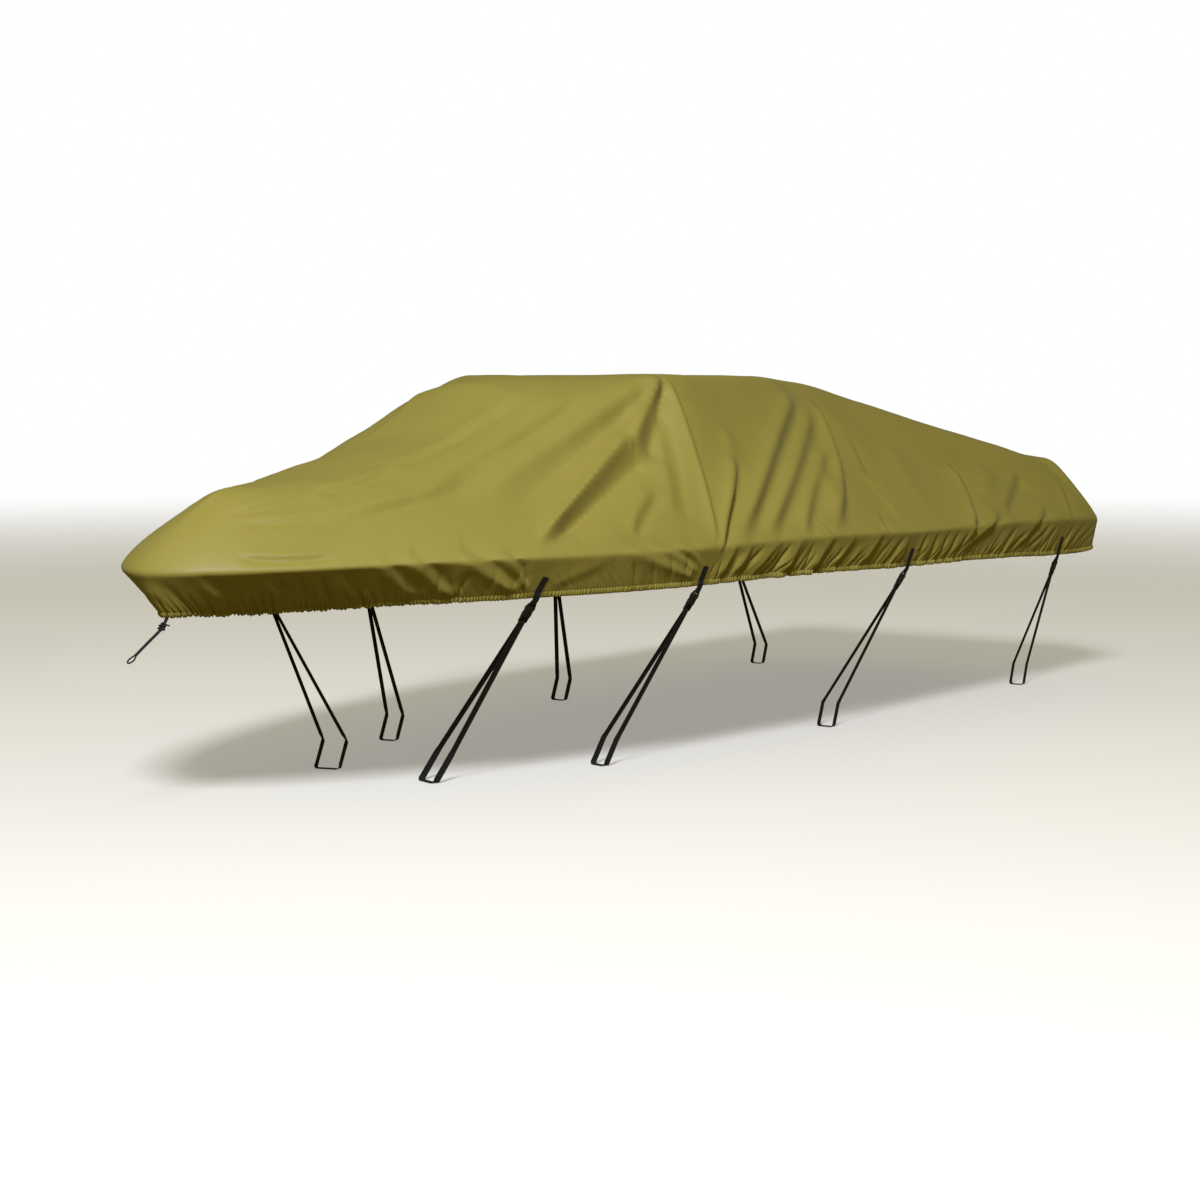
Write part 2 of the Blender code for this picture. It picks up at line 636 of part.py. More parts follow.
def build_tube(name, points, radius, material):
    """A round cord as a curve with filled ends."""
    curve = bpy.data.curves.new(name, "CURVE")
    curve.dimensions = "3D"
    curve.bevel_depth = radius
    curve.bevel_resolution = 2
    curve.use_fill_caps = True
    spline = curve.splines.new("POLY")
    spline.points.add(len(points) - 1)
    for spot, point in zip(spline.points, points):
        spot.co = (*(np.array(point) - ORIGIN), 1.0)
    curve.materials.append(material)
    piece = bpy.data.objects.new(name, curve)
    bpy.context.scene.collection.objects.link(piece)
    return piece


def knot_place():
    """The knot's middle, the eye's start and the knot's axis, halfway between the leads' and the loop's."""
    knot = np.array([KNOT_X, 0.0, KNOT_Z])
    eye = np.array([EYE_X, 0.0, EYE_Z])
    hem = smooth_skin(0.0, -1.0)
    return knot, eye, unit(unit(knot - hem) + unit(eye - knot))


def nose_loop_points():
    """The loop at the nose: down from the knot, round its eye and back up beside itself."""
    knot, eye, axis = knot_place()
    down = unit(eye - knot)
    lean = np.linalg.norm(np.cross(axis, down))
    start = knot + axis * (KNOT_LENGTH / 2 + 2 * TOUCH + CORD / 2 * lean)
    aside = np.array([0.0, 1.0, 0.0])
    half = [start + aside * STRAND_GAP,
            start * 0.5 + eye * 0.5 + aside * STRAND_GAP,
            eye + aside * STRAND_GAP,
            eye + down * EYE_LENGTH * 0.30 + aside * EYE_WIDTH * 0.34,
            eye + down * EYE_LENGTH * 0.66 + aside * EYE_WIDTH * 0.50,
            eye + down * EYE_LENGTH * 0.93 + aside * EYE_WIDTH * 0.28]
    tip = [eye + down * EYE_LENGTH]
    return half + tip + [point * np.array([1.0, -1.0, 1.0]) for point in reversed(half)]


def build_nose_tie(cord, knot_material):
    """The cord at the nose: two leads out of the hem, their knot and the loop below it."""
    hem = smooth_skin(0.0, -1.0)
    knot, _, axis = knot_place()
    for side, sign, folds in SIDES:
        top = hem + np.array([LEAD_BACK, sign * LEAD_GAP, -LEAD_DROP])
        foot = knot - axis * (KNOT_LENGTH / 2 + TOUCH) + np.array([0.0, sign * STRAND_GAP, 0.0])
        build_tube(f"nose_lead_{side}", smooth_path([top, foot - axis * STRAIGHT_END, foot], 6), CORD / 2, cord)
    build_tube("nose_loop", smooth_path(nose_loop_points(), 45), CORD / 2, cord)
    work = bmesh.new()
    rings = []
    aside = np.array([0.0, 1.0, 0.0])
    front = np.cross(aside, axis)
    for share, swell in KNOT_PROFILE:
        centre = knot + axis * (share - 0.5) * KNOT_LENGTH
        ring = []
        for index in range(KNOT_SIDES):
            angle = 2 * math.pi * index / KNOT_SIDES
            lump = 1.0 + 0.12 * math.sin(2 * angle + 7.0 * share)
            radius = KNOT_RADIUS * swell * lump
            ring.append(work.verts.new(centre + (aside * math.cos(angle)
                                                 + front * math.sin(angle)) * radius))
        rings.append(ring)
    bridge(work, rings)
    finish_piece("nose_knot", work, knot_material)


def build():
    """Make every piece of the cover."""
    clear_scene()
    cloth = make_material("olive cloth", (0.36, 0.33, 0.10), 0.85)
    webbing = make_material("black webbing", (0.015, 0.015, 0.016), 0.75)
    plastic = make_material("black plastic", (0.012, 0.012, 0.013), 0.40)
    cord = make_material("black cord", (0.014, 0.014, 0.015), 0.70)
    build_cover(cloth)
    build_straps(webbing, plastic)
    build_nose_tie(cord, cord)


build()
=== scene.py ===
"""Looks of the fitted boat cover: the cloth with its folds, gathers and elastic hem, the sewn tabs, the
side-release buckles and doubled webbing of the tie-downs, and the knotted cord at the nose.

Places on the cloth are given as a run, measured from the nose along the knuckle edge, and a girth,
measured up the cloth from that edge and negative down the skirt. Stations and heights are measured
from the nose tip and the nose's knuckle edge, and ORIGIN takes them to the row frame.
"""
import math

import bmesh
import bpy
import numpy as np
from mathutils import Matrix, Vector


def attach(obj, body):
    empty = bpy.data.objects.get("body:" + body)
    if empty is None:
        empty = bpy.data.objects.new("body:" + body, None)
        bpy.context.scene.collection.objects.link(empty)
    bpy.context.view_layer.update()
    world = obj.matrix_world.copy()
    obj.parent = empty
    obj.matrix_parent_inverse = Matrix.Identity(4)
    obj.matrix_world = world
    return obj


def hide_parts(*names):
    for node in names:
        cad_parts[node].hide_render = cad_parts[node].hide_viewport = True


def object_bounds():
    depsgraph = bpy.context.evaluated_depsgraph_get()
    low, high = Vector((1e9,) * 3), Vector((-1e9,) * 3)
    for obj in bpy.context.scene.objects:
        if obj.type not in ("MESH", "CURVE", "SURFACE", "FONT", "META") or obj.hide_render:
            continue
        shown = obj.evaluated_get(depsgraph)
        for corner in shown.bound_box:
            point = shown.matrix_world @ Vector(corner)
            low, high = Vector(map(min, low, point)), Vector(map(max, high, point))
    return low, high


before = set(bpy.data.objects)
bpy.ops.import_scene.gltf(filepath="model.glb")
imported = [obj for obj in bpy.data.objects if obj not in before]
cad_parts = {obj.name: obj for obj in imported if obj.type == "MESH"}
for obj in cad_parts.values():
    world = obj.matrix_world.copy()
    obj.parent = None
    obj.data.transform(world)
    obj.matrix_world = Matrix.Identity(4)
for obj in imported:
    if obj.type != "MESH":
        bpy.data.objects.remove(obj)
CAD_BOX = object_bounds()

# Camera and light, in metres, degrees and watts.
CAMERA_PLACE = (-8.4853, -6.0590, -0.0690)
CAMERA_HEADING = 36.0
CAMERA_DROP = 5.167
CAMERA_LENS = 69.0
CAMERA_SENSOR = 36.0
CAMERA_FAR = 200.0
FLOOR_GAP = 0.0015
FLOOR_REACH = 60.0
FLOOR_CLEAR_START = 7.0
FLOOR_CLEAR_END = 26.0
FLOOR_COLOUR = (0.80, 0.745, 0.60)
FLOOR_GLOW = 0.30
BACKDROP = 1.0
SKY_ABOVE = (0.170, 0.152, 0.044)
SKY_BELOW = (0.150, 0.124, 0.034)
# Heights of a direction between which the sky goes from its lower colour to its upper one.
SKY_GRADE = (-0.35, 0.30)
WHITE = (1.0, 1.0, 1.0, 1.0)
KEY_PLACE = (-10.0, -5.8, 8.4)
KEY_TARGET = (0.0, 0.0, -0.3)
KEY_SIZE = 2.8
KEY_WATTS = 1690.0
KEY_COLOUR = (0.93, 1.0, 1.26)

# Driving sizes of the cover, in metres.
CLOTH = 0.003
LENGTH = 5.89
HALF_BEAM = 1.065
WIDEST = 3.60
NOSE_FULLNESS = 1.10
TAIL_HALF = 1.045
TAIL_CORNER = 0.12
SPINE_START = 0.42
SPINE_END = 5.32
SHOULDER_ROUND = 0.045
SUPPORT_STATION = 2.90
SHOULDER_LEAST = 0.06
# The spine's point above a place on the edge goes by the place's station and by its run.
SPINE_BY_STATION = 0.85
SPINE_BY_RUN = 0.15

# One row for each cross-section. edge_z is the knuckle edge, crown_z the centreline, side_run and
# side_rise reach from the edge to the shoulder, side_bulge bows that side (below 1) or hollows it,
# skirt_drop and skirt_tuck take the hem down and in from the edge.
SECTION_COLUMNS = ("station", "edge_z", "crown_z", "side_run", "side_rise", "side_bulge",
                   "skirt_drop", "skirt_tuck")
SECTIONS = (
    (0.00, 0.000, 0.000, 0.36, 0.272, 0.72, 0.160, 0.118),
    (0.10, 0.003, 0.165, 0.35, 0.283, 0.72, 0.164, 0.188),
    (0.30, 0.008, 0.268, 0.36, 0.290, 0.76, 0.168, 0.222),
    (0.55, 0.014, 0.293, 0.37, 0.280, 0.82, 0.165, 0.190),
    (0.85, 0.018, 0.326, 0.39, 0.296, 0.88, 0.162, 0.135),
    (1.20, 0.018, 0.402, 0.42, 0.345, 0.95, 0.161, 0.088),
    (1.42, 0.017, 0.455, 0.43, 0.393, 0.98, 0.160, 0.072),
    (1.65, 0.015, 0.573, 0.44, 0.450, 1.00, 0.159, 0.062),
    (1.85, 0.014, 0.682, 0.45, 0.515, 1.00, 0.158, 0.057),
    (2.10, 0.013, 0.709, 0.46, 0.600, 1.00, 0.157, 0.054),
    (2.48, 0.019, 0.712, 0.47, 0.695, 1.03, 0.159, 0.052),
    (3.00, 0.023, 0.712, 0.53, 0.690, 1.10, 0.164, 0.050),
    (3.50, 0.013, 0.710, 0.60, 0.688, 1.12, 0.165, 0.050),
    (3.87, 0.005, 0.688, 0.64, 0.675, 1.12, 0.164, 0.049),
    (4.35, 0.003, 0.612, 0.60, 0.585, 1.06, 0.168, 0.048),
    (4.80, 0.001, 0.525, 0.50, 0.480, 1.00, 0.177, 0.047),
    (5.25, -0.009, 0.435, 0.37, 0.385, 0.95, 0.184, 0.046),
    (5.60, -0.020, 0.358, 0.26, 0.322, 0.90, 0.181, 0.045),
    (5.89, -0.032, 0.310, 0.24, 0.310, 0.88, 0.158, 0.030),
)
TAIL_PANEL = {"side_run": 0.25, "side_rise": 0.33, "side_bulge": 0.86}

# Points taken along the parts of the edge's plan and along the whole edge, and the step over which
# its direction is read. Runs within NEARLY of its ends are on the centreline.
NOSE_SAMPLES = 400
SIDE_SAMPLES = 200
CORNER_SAMPLES = 60
TAIL_SAMPLES = 100
EDGE_SAMPLES = 3000
EDGE_STEP = 0.01
NEARLY = 1e-6
SHORTEST = 1e-12

# Density of the cloth's mesh. The skirt has twice the canopy's columns and the hem four times.
SIDE_COLUMNS = 800
HEM_FINENESS = 4
SKIRT_STEP = 2
CANOPY_ROWS = 56
CANOPY_CROWDING = 1.15
KNUCKLE_ROUND = 0.016
KNUCKLE_ROWS = (-0.012, -0.004, 0.004, 0.012, 0.022)
SKIRT_TOP = -0.022
SKIRT_SHARES = (0.0, 0.07, 0.15, 0.24, 0.33, 0.42, 0.50, 0.58)
HEM_SHARES = (0.65, 0.72, 0.78, 0.84, 0.89, 0.93, 0.97, 1.0)
CROWD_START = 1.25
CROWD_END = 4.35
CROWD_BLEND = 0.55
CROWDING = 1.1
CANOPY_SAMPLES = 280
CANOPY_SAMPLE_POWER = 1.4
SKIRT_SAMPLES = 9

# Folds of the port side. Each runs from its head through its middle to its foot, and these are the
# places of the three, by run along the knuckle edge and girth up from it.
PLACE_COLUMNS = ("head_run", "head_girth", "mid_run", "mid_girth", "foot_run", "foot_girth")
# Laps: folds with a steep side. The cloth rises over fore to the crest, drops down the cliff to the
# sink, and comes back over aft; with a sink below 0 it keeps falling. The shares scale all the
# widths at the two ends.
LAP_COLUMNS = PLACE_COLUMNS + ("rise", "sink", "fore", "cliff", "aft", "head_share", "foot_share")
PORT_LAPS = (
    # the deep pleat that falls forward from the front support
    (2.780, 0.846, 2.560, 0.676, 2.325, 0.486, 0.030, 0.042, 0.045, 0.105, 0.060, 0.45, 1.15),
    (2.410, 0.578, 2.035, 0.358, 1.575, 0.062, 0.044, 0.048, 0.062, 0.160, 0.100, 0.82, 0.24),
    (2.400, 0.560, 2.368, 0.515, 2.350, 0.470, 0.006, 0.009, 0.018, 0.022, 0.018, 1.00, 1.00),
    (2.180, 0.535, 1.920, 0.372, 1.700, 0.190, 0.005, 0.005, 0.050, 0.050, 0.050, 0.80, 0.70),
    (1.870, 0.135, 1.815, 0.112, 1.800, 0.075, 0.003, 0.006, 0.020, 0.022, 0.020, 1.00, 0.80),
    # slack that sags forward over the foredeck panel
    (2.715, 0.825, 2.060, 0.598, 1.440, 0.362, 0.016, 0.024, 0.085, 0.110, 0.070, 0.45, 1.30),
    (2.330, 0.830, 1.740, 0.622, 1.270, 0.475, 0.011, 0.012, 0.070, 0.060, 0.060, 0.60, 1.10),
    (1.500, 0.460, 1.040, 0.338, 0.570, 0.212, 0.009, 0.010, 0.060, 0.050, 0.060, 0.90, 0.80),
    (2.200, 0.935, 1.560, 0.745, 1.150, 0.608, 0.007, 0.011, 0.060, 0.030, 0.060, 0.80, 1.00),
    (1.180, 0.612, 0.916, 0.500, 0.690, 0.462, 0.010, 0.014, 0.040, 0.032, 0.045, 1.00, 0.80),
    (0.740, 0.462, 0.480, 0.374, 0.240, 0.308, 0.006, 0.009, 0.050, 0.028, 0.060, 1.00, 0.80),
    (1.220, 0.402, 0.740, 0.298, 0.240, 0.262, 0.006, 0.009, 0.045, 0.036, 0.050, 1.00, 0.70),
    (1.860, 0.590, 1.500, 0.492, 1.150, 0.380, 0.007, 0.007, 0.050, 0.040, 0.050, 1.00, 1.00),
    (0.750, 0.078, 0.535, 0.068, 0.330, 0.090, 0.004, 0.013, 0.030, 0.024, 0.026, 0.80, 0.80),
    # creases drawn down to the second strap
    (2.815, 0.830, 2.690, 0.418, 2.515, -0.040, 0.022, 0.000, 0.060, 0.040, 0.080, 0.90, 0.60),
    (2.650, 0.720, 2.520, 0.440, 2.350, 0.120, 0.006, 0.010, 0.060, 0.080, 0.040, 0.70, 1.00),
    (2.375, 0.325, 2.235, 0.225, 2.085, 0.090, 0.010, 0.013, 0.060, 0.066, 0.035, 1.00, 0.60),
    (2.985, 0.430, 2.750, 0.208, 2.545, -0.020, 0.018, 0.012, 0.045, 0.044, 0.040, 1.10, 0.55),
    (2.860, 0.300, 2.690, 0.140, 2.535, -0.045, 0.006, 0.006, 0.030, 0.020, 0.024, 1.00, 0.70),
    # the fan between the second support and the second strap
    (4.060, 0.885, 3.320, 0.462, 2.650, 0.000, 0.030, 0.018, 0.070, 0.105, 0.055, 0.85, 0.60),
    (4.150, 0.810, 3.395, 0.358, 2.860, 0.020, 0.026, 0.015, 0.058, 0.098, 0.050, 0.85, 0.60),
    (3.890, 0.520, 3.450, 0.262, 3.120, 0.010, 0.017, 0.010, 0.048, 0.076, 0.045, 0.80, 0.70),
    (4.230, 0.862, 3.900, 0.430, 3.345, 0.012, 0.029, 0.010, 0.080, 0.072, 0.070, 0.80, 0.80),
    (3.310, 0.105, 3.335, 0.060, 3.340, 0.008, 0.004, 0.006, 0.022, 0.020, 0.018, 1.00, 0.80),
    (3.250, 0.095, 3.275, 0.050, 3.285, 0.010, 0.003, 0.005, 0.020, 0.020, 0.018, 1.00, 0.80),
    (4.300, 0.640, 4.200, 0.500, 4.110, 0.372, 0.004, 0.005, 0.040, 0.036, 0.040, 0.70, 1.00),
    (4.105, 0.420, 4.080, 0.230, 4.025, 0.005, 0.013, 0.012, 0.060, 0.032, 0.050, 0.70, 0.60),
    (3.905, 0.150, 3.850, 0.075, 3.800, 0.000, 0.006, 0.007, 0.036, 0.022, 0.030, 1.00, 0.70),
    # slack over the aft side and the tail's corner
    (5.050, 0.430, 4.900, 0.200, 4.490, -0.130, 0.018, 0.015, 0.075, 0.036, 0.055, 0.80, 0.75),
    (4.920, 0.160, 4.975, 0.120, 5.040, 0.080, 0.004, 0.006, 0.030, 0.020, 0.030, 0.80, 0.80),
    (4.900, 0.400, 5.060, 0.330, 5.200, 0.250, 0.003, 0.004, 0.030, 0.030, 0.030, 0.80, 0.80),
    (5.060, 0.085, 4.790, -0.022, 4.575, -0.125, 0.012, 0.012, 0.050, 0.032, 0.040, 0.90, 0.70),
    (5.690, 0.350, 5.400, 0.220, 5.090, 0.090, 0.012, 0.012, 0.080, 0.050, 0.060, 0.80, 0.80),
    (5.640, 0.110, 5.370, 0.000, 5.165, -0.130, 0.011, 0.010, 0.050, 0.036, 0.045, 0.90, 0.70),
    (6.030, 0.290, 5.895, 0.135, 5.770, 0.000, 0.008, 0.008, 0.045, 0.026, 0.045, 0.80, 0.80),
    # skirt folds fore of the first strap, gathered down to it
    (0.190, -0.020, 0.250, -0.085, 0.310, -0.170, 0.009, 0.007, 0.022, 0.040, 0.024, 0.90, 0.90),
    (0.420, -0.020, 0.490, -0.105, 0.560, -0.190, 0.009, 0.007, 0.022, 0.040, 0.024, 0.90, 0.90),
    (0.720, -0.020, 0.790, -0.100, 0.860, -0.180, 0.007, 0.007, 0.022, 0.036, 0.024, 0.90, 0.90),
    (0.860, 0.020, 0.970, -0.085, 1.080, -0.175, 0.012, 0.008, 0.022, 0.044, 0.028, 1.00, 0.80),
    (0.970, 0.030, 1.110, -0.080, 1.240, -0.175, 0.013, 0.010, 0.024, 0.050, 0.030, 1.10, 0.70),
    (1.180, 0.030, 1.360, -0.070, 1.520, -0.155, 0.015, 0.011, 0.026, 0.062, 0.034, 1.20, 0.50),
    (1.370, 0.040, 1.480, -0.055, 1.542, -0.140, 0.011, 0.013, 0.020, 0.040, 0.026, 1.20, 0.50),
    # one ridge that leaves the first strap aft and upward
    (1.960, 0.000, 1.800, -0.070, 1.640, -0.125, 0.004, 0.001, 0.036, 0.060, 0.040, 1.00, 0.60),
    # skirt folds gathered to the second strap, and the stripes aft of it
    (1.980, 0.020, 2.230, -0.060, 2.450, -0.132, 0.012, 0.010, 0.024, 0.056, 0.034, 1.20, 0.45),
    (2.140, 0.024, 2.320, -0.045, 2.462, -0.112, 0.011, 0.010, 0.020, 0.042, 0.028, 1.20, 0.45),
    (2.290, 0.036, 2.400, -0.028, 2.470, -0.090, 0.008, 0.009, 0.018, 0.032, 0.022, 1.20, 0.50),
    (2.660, 0.020, 2.630, -0.050, 2.575, -0.140, 0.009, 0.009, 0.034, 0.040, 0.030, 1.00, 0.70),
    (2.770, 0.020, 2.730, -0.050, 2.665, -0.130, 0.009, 0.009, 0.034, 0.040, 0.034, 1.00, 0.80),
    (2.975, 0.020, 2.905, -0.060, 2.810, -0.150, 0.010, 0.010, 0.045, 0.048, 0.040, 1.00, 0.80),
    (3.150, 0.016, 3.080, -0.060, 2.995, -0.145, 0.010, 0.010, 0.045, 0.048, 0.040, 1.00, 0.80),
    (3.370, 0.012, 3.290, -0.065, 3.205, -0.155, 0.011, 0.011, 0.045, 0.048, 0.040, 1.00, 0.80),
    (3.560, 0.010, 3.470, -0.060, 3.385, -0.140, 0.007, 0.007, 0.040, 0.044, 0.036, 1.00, 0.80),
    (3.770, 0.020, 3.700, -0.050, 3.610, -0.130, 0.010, 0.010, 0.045, 0.048, 0.040, 1.00, 0.80),
)
# Swells: soft folds, the same on both sides of their line. height lifts them, or sinks them below 0.
SWELL_COLUMNS = PLACE_COLUMNS + ("head_width", "foot_width", "height")
PORT_SWELLS = (
    (2.560, 0.760, 2.440, 0.560, 2.250, 0.300, 0.030, 0.090, 0.010),
    (3.090, 0.600, 2.880, 0.340, 2.620, 0.080, 0.050, 0.016, 0.008),
    (3.720, 0.420, 3.600, 0.250, 3.450, 0.080, 0.060, 0.045, 0.010),
    (4.640, 0.600, 4.500, 0.350, 4.350, 0.100, 0.110, 0.080, 0.008),
    (5.450, 0.420, 5.250, 0.290, 5.050, 0.170, 0.060, 0.050, 0.008),
    (0.015, -0.030, 0.020, -0.080, 0.030, -0.130, 0.022, 0.018, 0.006),
)
# The starboard side hangs in like folds, moved a little along the cloth and somewhat shallower.
STARBOARD_MOVE = 0.07
STARBOARD_SWAY = 0.05
STARBOARD_SHARE = 0.85
STARBOARD_SWAY_RATE = 2.3
# Folds whose heads lie lower than this girth keep their places along the cloth.
STARBOARD_MOVED_FROM = 0.09
FOLD_POINTS = 9
# Folds fade in at the head and out at the foot over these shares of their length, but over no less
# than FOLD_FADE_LEAST metres at the head and FOLD_FADE_FOOT of that at the foot.
FOLD_FADE_IN = 0.16
FOLD_FADE_OUT = 0.24
FOLD_FADE_LEAST = 0.110
FOLD_FADE_FOOT = 0.5
FOLD_REACH = 3.0
FOLD_EDGE = 0.5
LAP_ROUND = 0.016
LAP_CURL = 1.7
SWELL_SHAPE = 1.8
SPINE_FADE = 0.26

# Slow unevenness of the slack cloth: size of its features and its depth.
SLACK_COLUMNS = ("along", "up", "depth", "seed")
SLACK = (
    (0.62, 0.34, 0.0050, 11),
    (0.24, 0.17, 0.0022, 12),
    (0.09, 0.11, 0.0007, 13),
)
SLACK_SHIFT = 7.3
SLACK_START = 0.12
SLACK_SEEDS = (0, 100)
NOISE_CELLS = 64
# The sides' slack and gathers blend into each other over this run at the nose and the tail.
END_BLEND = 0.3

# Gathers that the elastic draws into the skirt, coarse to fine. starts and full are shares of the
# way down to the hem's stitching, and at_hem is what is left of a gather's depth there.
GATHER_COLUMNS = ("pitch", "depth", "starts", "full", "at_hem", "seed")
GATHERS = (
    (0.112, 0.0105, 0.05, 0.55, 0.50, 21),
    (0.048, 0.0062, 0.34, 0.78, 0.60, 22),
    (0.0190, 0.0048, 0.62, 0.94, 1.00, 23),
)
GATHER_LEAN = 0.55
GATHER_POWER = 0.8
GATHER_MEAN = 1.15
GATHER_SEEDS = (0, 200)
# Noise that makes the spacing and the strength of gathers and puckers uneven: its mean and share, how
# it is read along and down the cloth, what is added to the seed, and the limits of the result.
UNEVEN_COLUMNS = ("mean", "share", "along", "along_shift", "down", "down_shift", "seed", "least", "most")
GATHER_SPACING = (0.0, 0.85, 0.31, 0.0, 0.8, 0.0, 0, -1.0, 1.0)
GATHER_STRENGTH = (0.62, 0.75, 0.43, 5.1, 0.7, 0.0, 50, 0.08, 1.3)
PUCKER_SPACING = (0.0, 0.9, 0.23, 0.0, 0.0, 0.0, 0, -1.0, 1.0)
PUCKER_STRENGTH = (0.8, 0.5, 0.3, 0.0, 0.0, 2.0, 1, 0.3, 1.3)
FORE_SLANT = 0.100
AFT_SLANT = -0.155
SLANT_TURN = 2.42
SLANT_BLEND = 0.20
# The slant dies away over these runs from the nose and from the tail.
SLANT_NOSE = 0.25
SLANT_TAIL = 0.6
TAUT_SPANS = ((1.26, 1.56, 0.45), (1.63, 2.08, 0.30), (2.10, 2.46, 0.30), (5.82, 6.60, 0.35))
TAUT_BLEND = 0.12
TAB_FLAT = 0.022
TAB_BLEND = 0.060
# What is left under a sewn tab of the skirt's folds and of the casing's way out.
TAB_FOLD_SHARE = 0.35
TAB_CASING_SHARE = 0.25

# The elastic casing seen in section: way down from its stitching, way out, and share of the puckers.
CASING = 0.027
CASING_COLUMNS = ("down", "out", "pucker")
CASING_SECTION = (
    (0.0030, 0.0010, 0.45),
    (0.0080, 0.0026, 0.85),
    (0.0150, 0.0032, 1.00),
    (0.0220, 0.0020, 0.90),
    (0.0262, -0.0006, 0.70),
    (0.0250, -0.0038, 0.60),
    (0.0160, -0.0056, 0.60),
    (0.0070, -0.0046, 0.45),
    (0.0005, -0.0022, 0.20),
)
PUCKER_PITCH = 0.0150
PUCKER_DEPTH = 0.0042
PUCKER_RISE = 0.0010
PUCKER_SEEDS = (31, 38)
SEAM_SINK = 0.0012

# Straps: run is the tab's place along the knuckle edge, foot_x and foot_y the middle of the loop's
# mouth on starboard, foot_gap the width that the loop spans and foot_turn its yaw in degrees.
# foot_slide is how far forward the loop's bottom lies of its mouth, and tab_lean how far aft the
# tab's sewn end lies of its place on the hem.
STRAP_COLUMNS = ("run", "foot_x", "foot_y", "foot_gap", "foot_turn", "foot_slide", "tab_lean")
STRAPS = (
    (1.59, 1.31, 0.290, 0.105, 18.0, 0.075, 0.020),
    (2.49, 2.02, 0.585, 0.080, 13.0, 0.060, 0.010),
    (4.05, 3.50, 0.765, 0.080, 0.0, 0.040, 0.010),
    (5.71, 5.40, 0.800, 0.075, 0.0, 0.035, 0.010),
)
# A tab stands in the middle of one of the 2 * PART_COLUMNS equal lengths of half the edge.
PART_COLUMNS = 66
FOOT_TOP = -0.778
FOOT_BOTTOM = -0.882
FOOT_CORNER = 0.014
FOOT_CORNER_POINTS = 7
WEB_WIDTH = 0.030
WEB_THICK = 0.0017
# The webbing's edge in section: how far in from the side, and the share of the rib's height there.
WEB_RIB = 0.0003
WEB_EDGE = ((0.0040, 0.0), (0.0026, 1.0), (0.0010, 0.7))
TAB_START = 0.47
TAB_LIFT = 0.0016
# Way down from the casing's stitching and way out, where the tab lies on the hem and just below it.
TAB_AT_HEM = (CASING * 0.55, 0.0022)
TAB_BELOW_HEM = (CASING + 0.006, 0.0012)
TAB_LAP = WEB_THICK * 1.15
TAB_TURN_POWER = 1.5
TAB_PATH_FINENESS = 8
BUCKLE_LENGTH = 0.088
# The bars that the tab and the leg go round: place along the buckle and half the thickness.
TAB_BAR = 0.0025
TAB_BAR_HALF = 0.0022
TAB_BAR_ROUND = 0.0036
TAB_BAR_INNER = 0.9
LEG_BAR = 0.0825
LEG_BAR_HALF = 0.0016
LEG_FED = 0.0605
LEG_CLEAR = 0.004
LEG_SPREAD = 0.0026
LEG_POINTS = 24

# Sewing. The thread's height on the webbing is in thicknesses of the webbing, and the half width of
# a tab's box of stitches in widths of it. The box starts BOX_TOP of the way down to a point of the
# tab's path, BOX_TOP_POINT, and ends BOX_BASE of the way up from the hem.
THREAD = 0.00035
HEM_THREAD = 0.00045
HEM_STITCH_COLUMNS = 3
SEAM_SHOWN = 0.7
STITCH_FILL = 0.40
STITCH_SECTION = ((1, 0), (0, 1.1), (-1, 0), (0, -0.7))
THREAD_LIFT = 0.62
BOX_HALF = 0.38
BOX_TOP = 0.14
BOX_TOP_POINT = 8
BOX_BASE = 0.30
BOX_PITCH = 0.0034
BAR_TACKS = 3
BAR_TACK_START = -0.001
BAR_TACK_STEP = 0.0015
BAR_TACK_HALF = 1.2
BAR_TACK_PITCH = 0.0022

# The buckle's plates in its own plane, as points (along, across) of an outline, the heights between
# which it stands and the width of its eased rims. Outlines of the body and the bars are halves, closed
# by their mirror images, and those of the sides stand once on each side.
SHELL = ((0.0100, 0.0175), (0.0125, 0.0205), (0.0220, 0.0218), (0.0290, 0.0190),
         (0.0400, 0.0186), (0.0470, 0.0212), (0.0510, 0.0205))
BUCKLE_BODY = (
    (SHELL, 0.0036, 0.0062, 0.0008),
    (SHELL, -0.0062, -0.0036, 0.0008),
    (((0.0150, 0.0120), (0.0170, 0.0140), (0.0420, 0.0130), (0.0450, 0.0110)), 0.0062, 0.0068, 0.0004),
    (((0.0110, 0.0165), (0.0140, 0.0195), (0.0215, 0.0205), (0.0215, 0.0100)), -0.0038, 0.0038, 0.0),
    (((0.0215, -0.0035), (0.0500, -0.0035)), -0.0038, 0.0038, 0.0),
)
BUCKLE_SIDE = (
    # the ear of the tab's bar, the prong with its release button, and the cheek of the leg's bars
    (((0.0000, 0.0150), (0.0000, 0.0195), (0.0120, 0.0205), (0.0120, 0.0155)), -0.0035, 0.0035, 0.0007),
    (((0.0500, 0.0110), (0.0500, 0.0160), (0.0400, 0.0185), (0.0330, 0.0216), (0.0255, 0.0216),
      (0.0240, 0.0190), (0.0300, 0.0160), (0.0400, 0.0120)), -0.0032, 0.0032, 0.0006),
    (((0.0560, 0.0160), (0.0560, 0.0205), (0.0850, 0.0200), (0.0880, 0.0170), (0.0860, 0.0155)),
     -0.0040, 0.0040, 0.0009),
)
BUCKLE_BARS = (
    (((0.0005, -0.0160), (0.0045, -0.0160)), -0.0022, 0.0022, 0.0012),
    (((0.0515, 0.0195), (0.0530, 0.0210), (0.0580, 0.0210), (0.0600, 0.0190)), -0.0055, 0.0055, 0.0010),
    (((0.0700, -0.0165), (0.0735, -0.0165)), -0.0016, 0.0016, 0.0009),
    (((0.0800, -0.0165), (0.0850, -0.0165)), -0.0016, 0.0016, 0.0009),
)
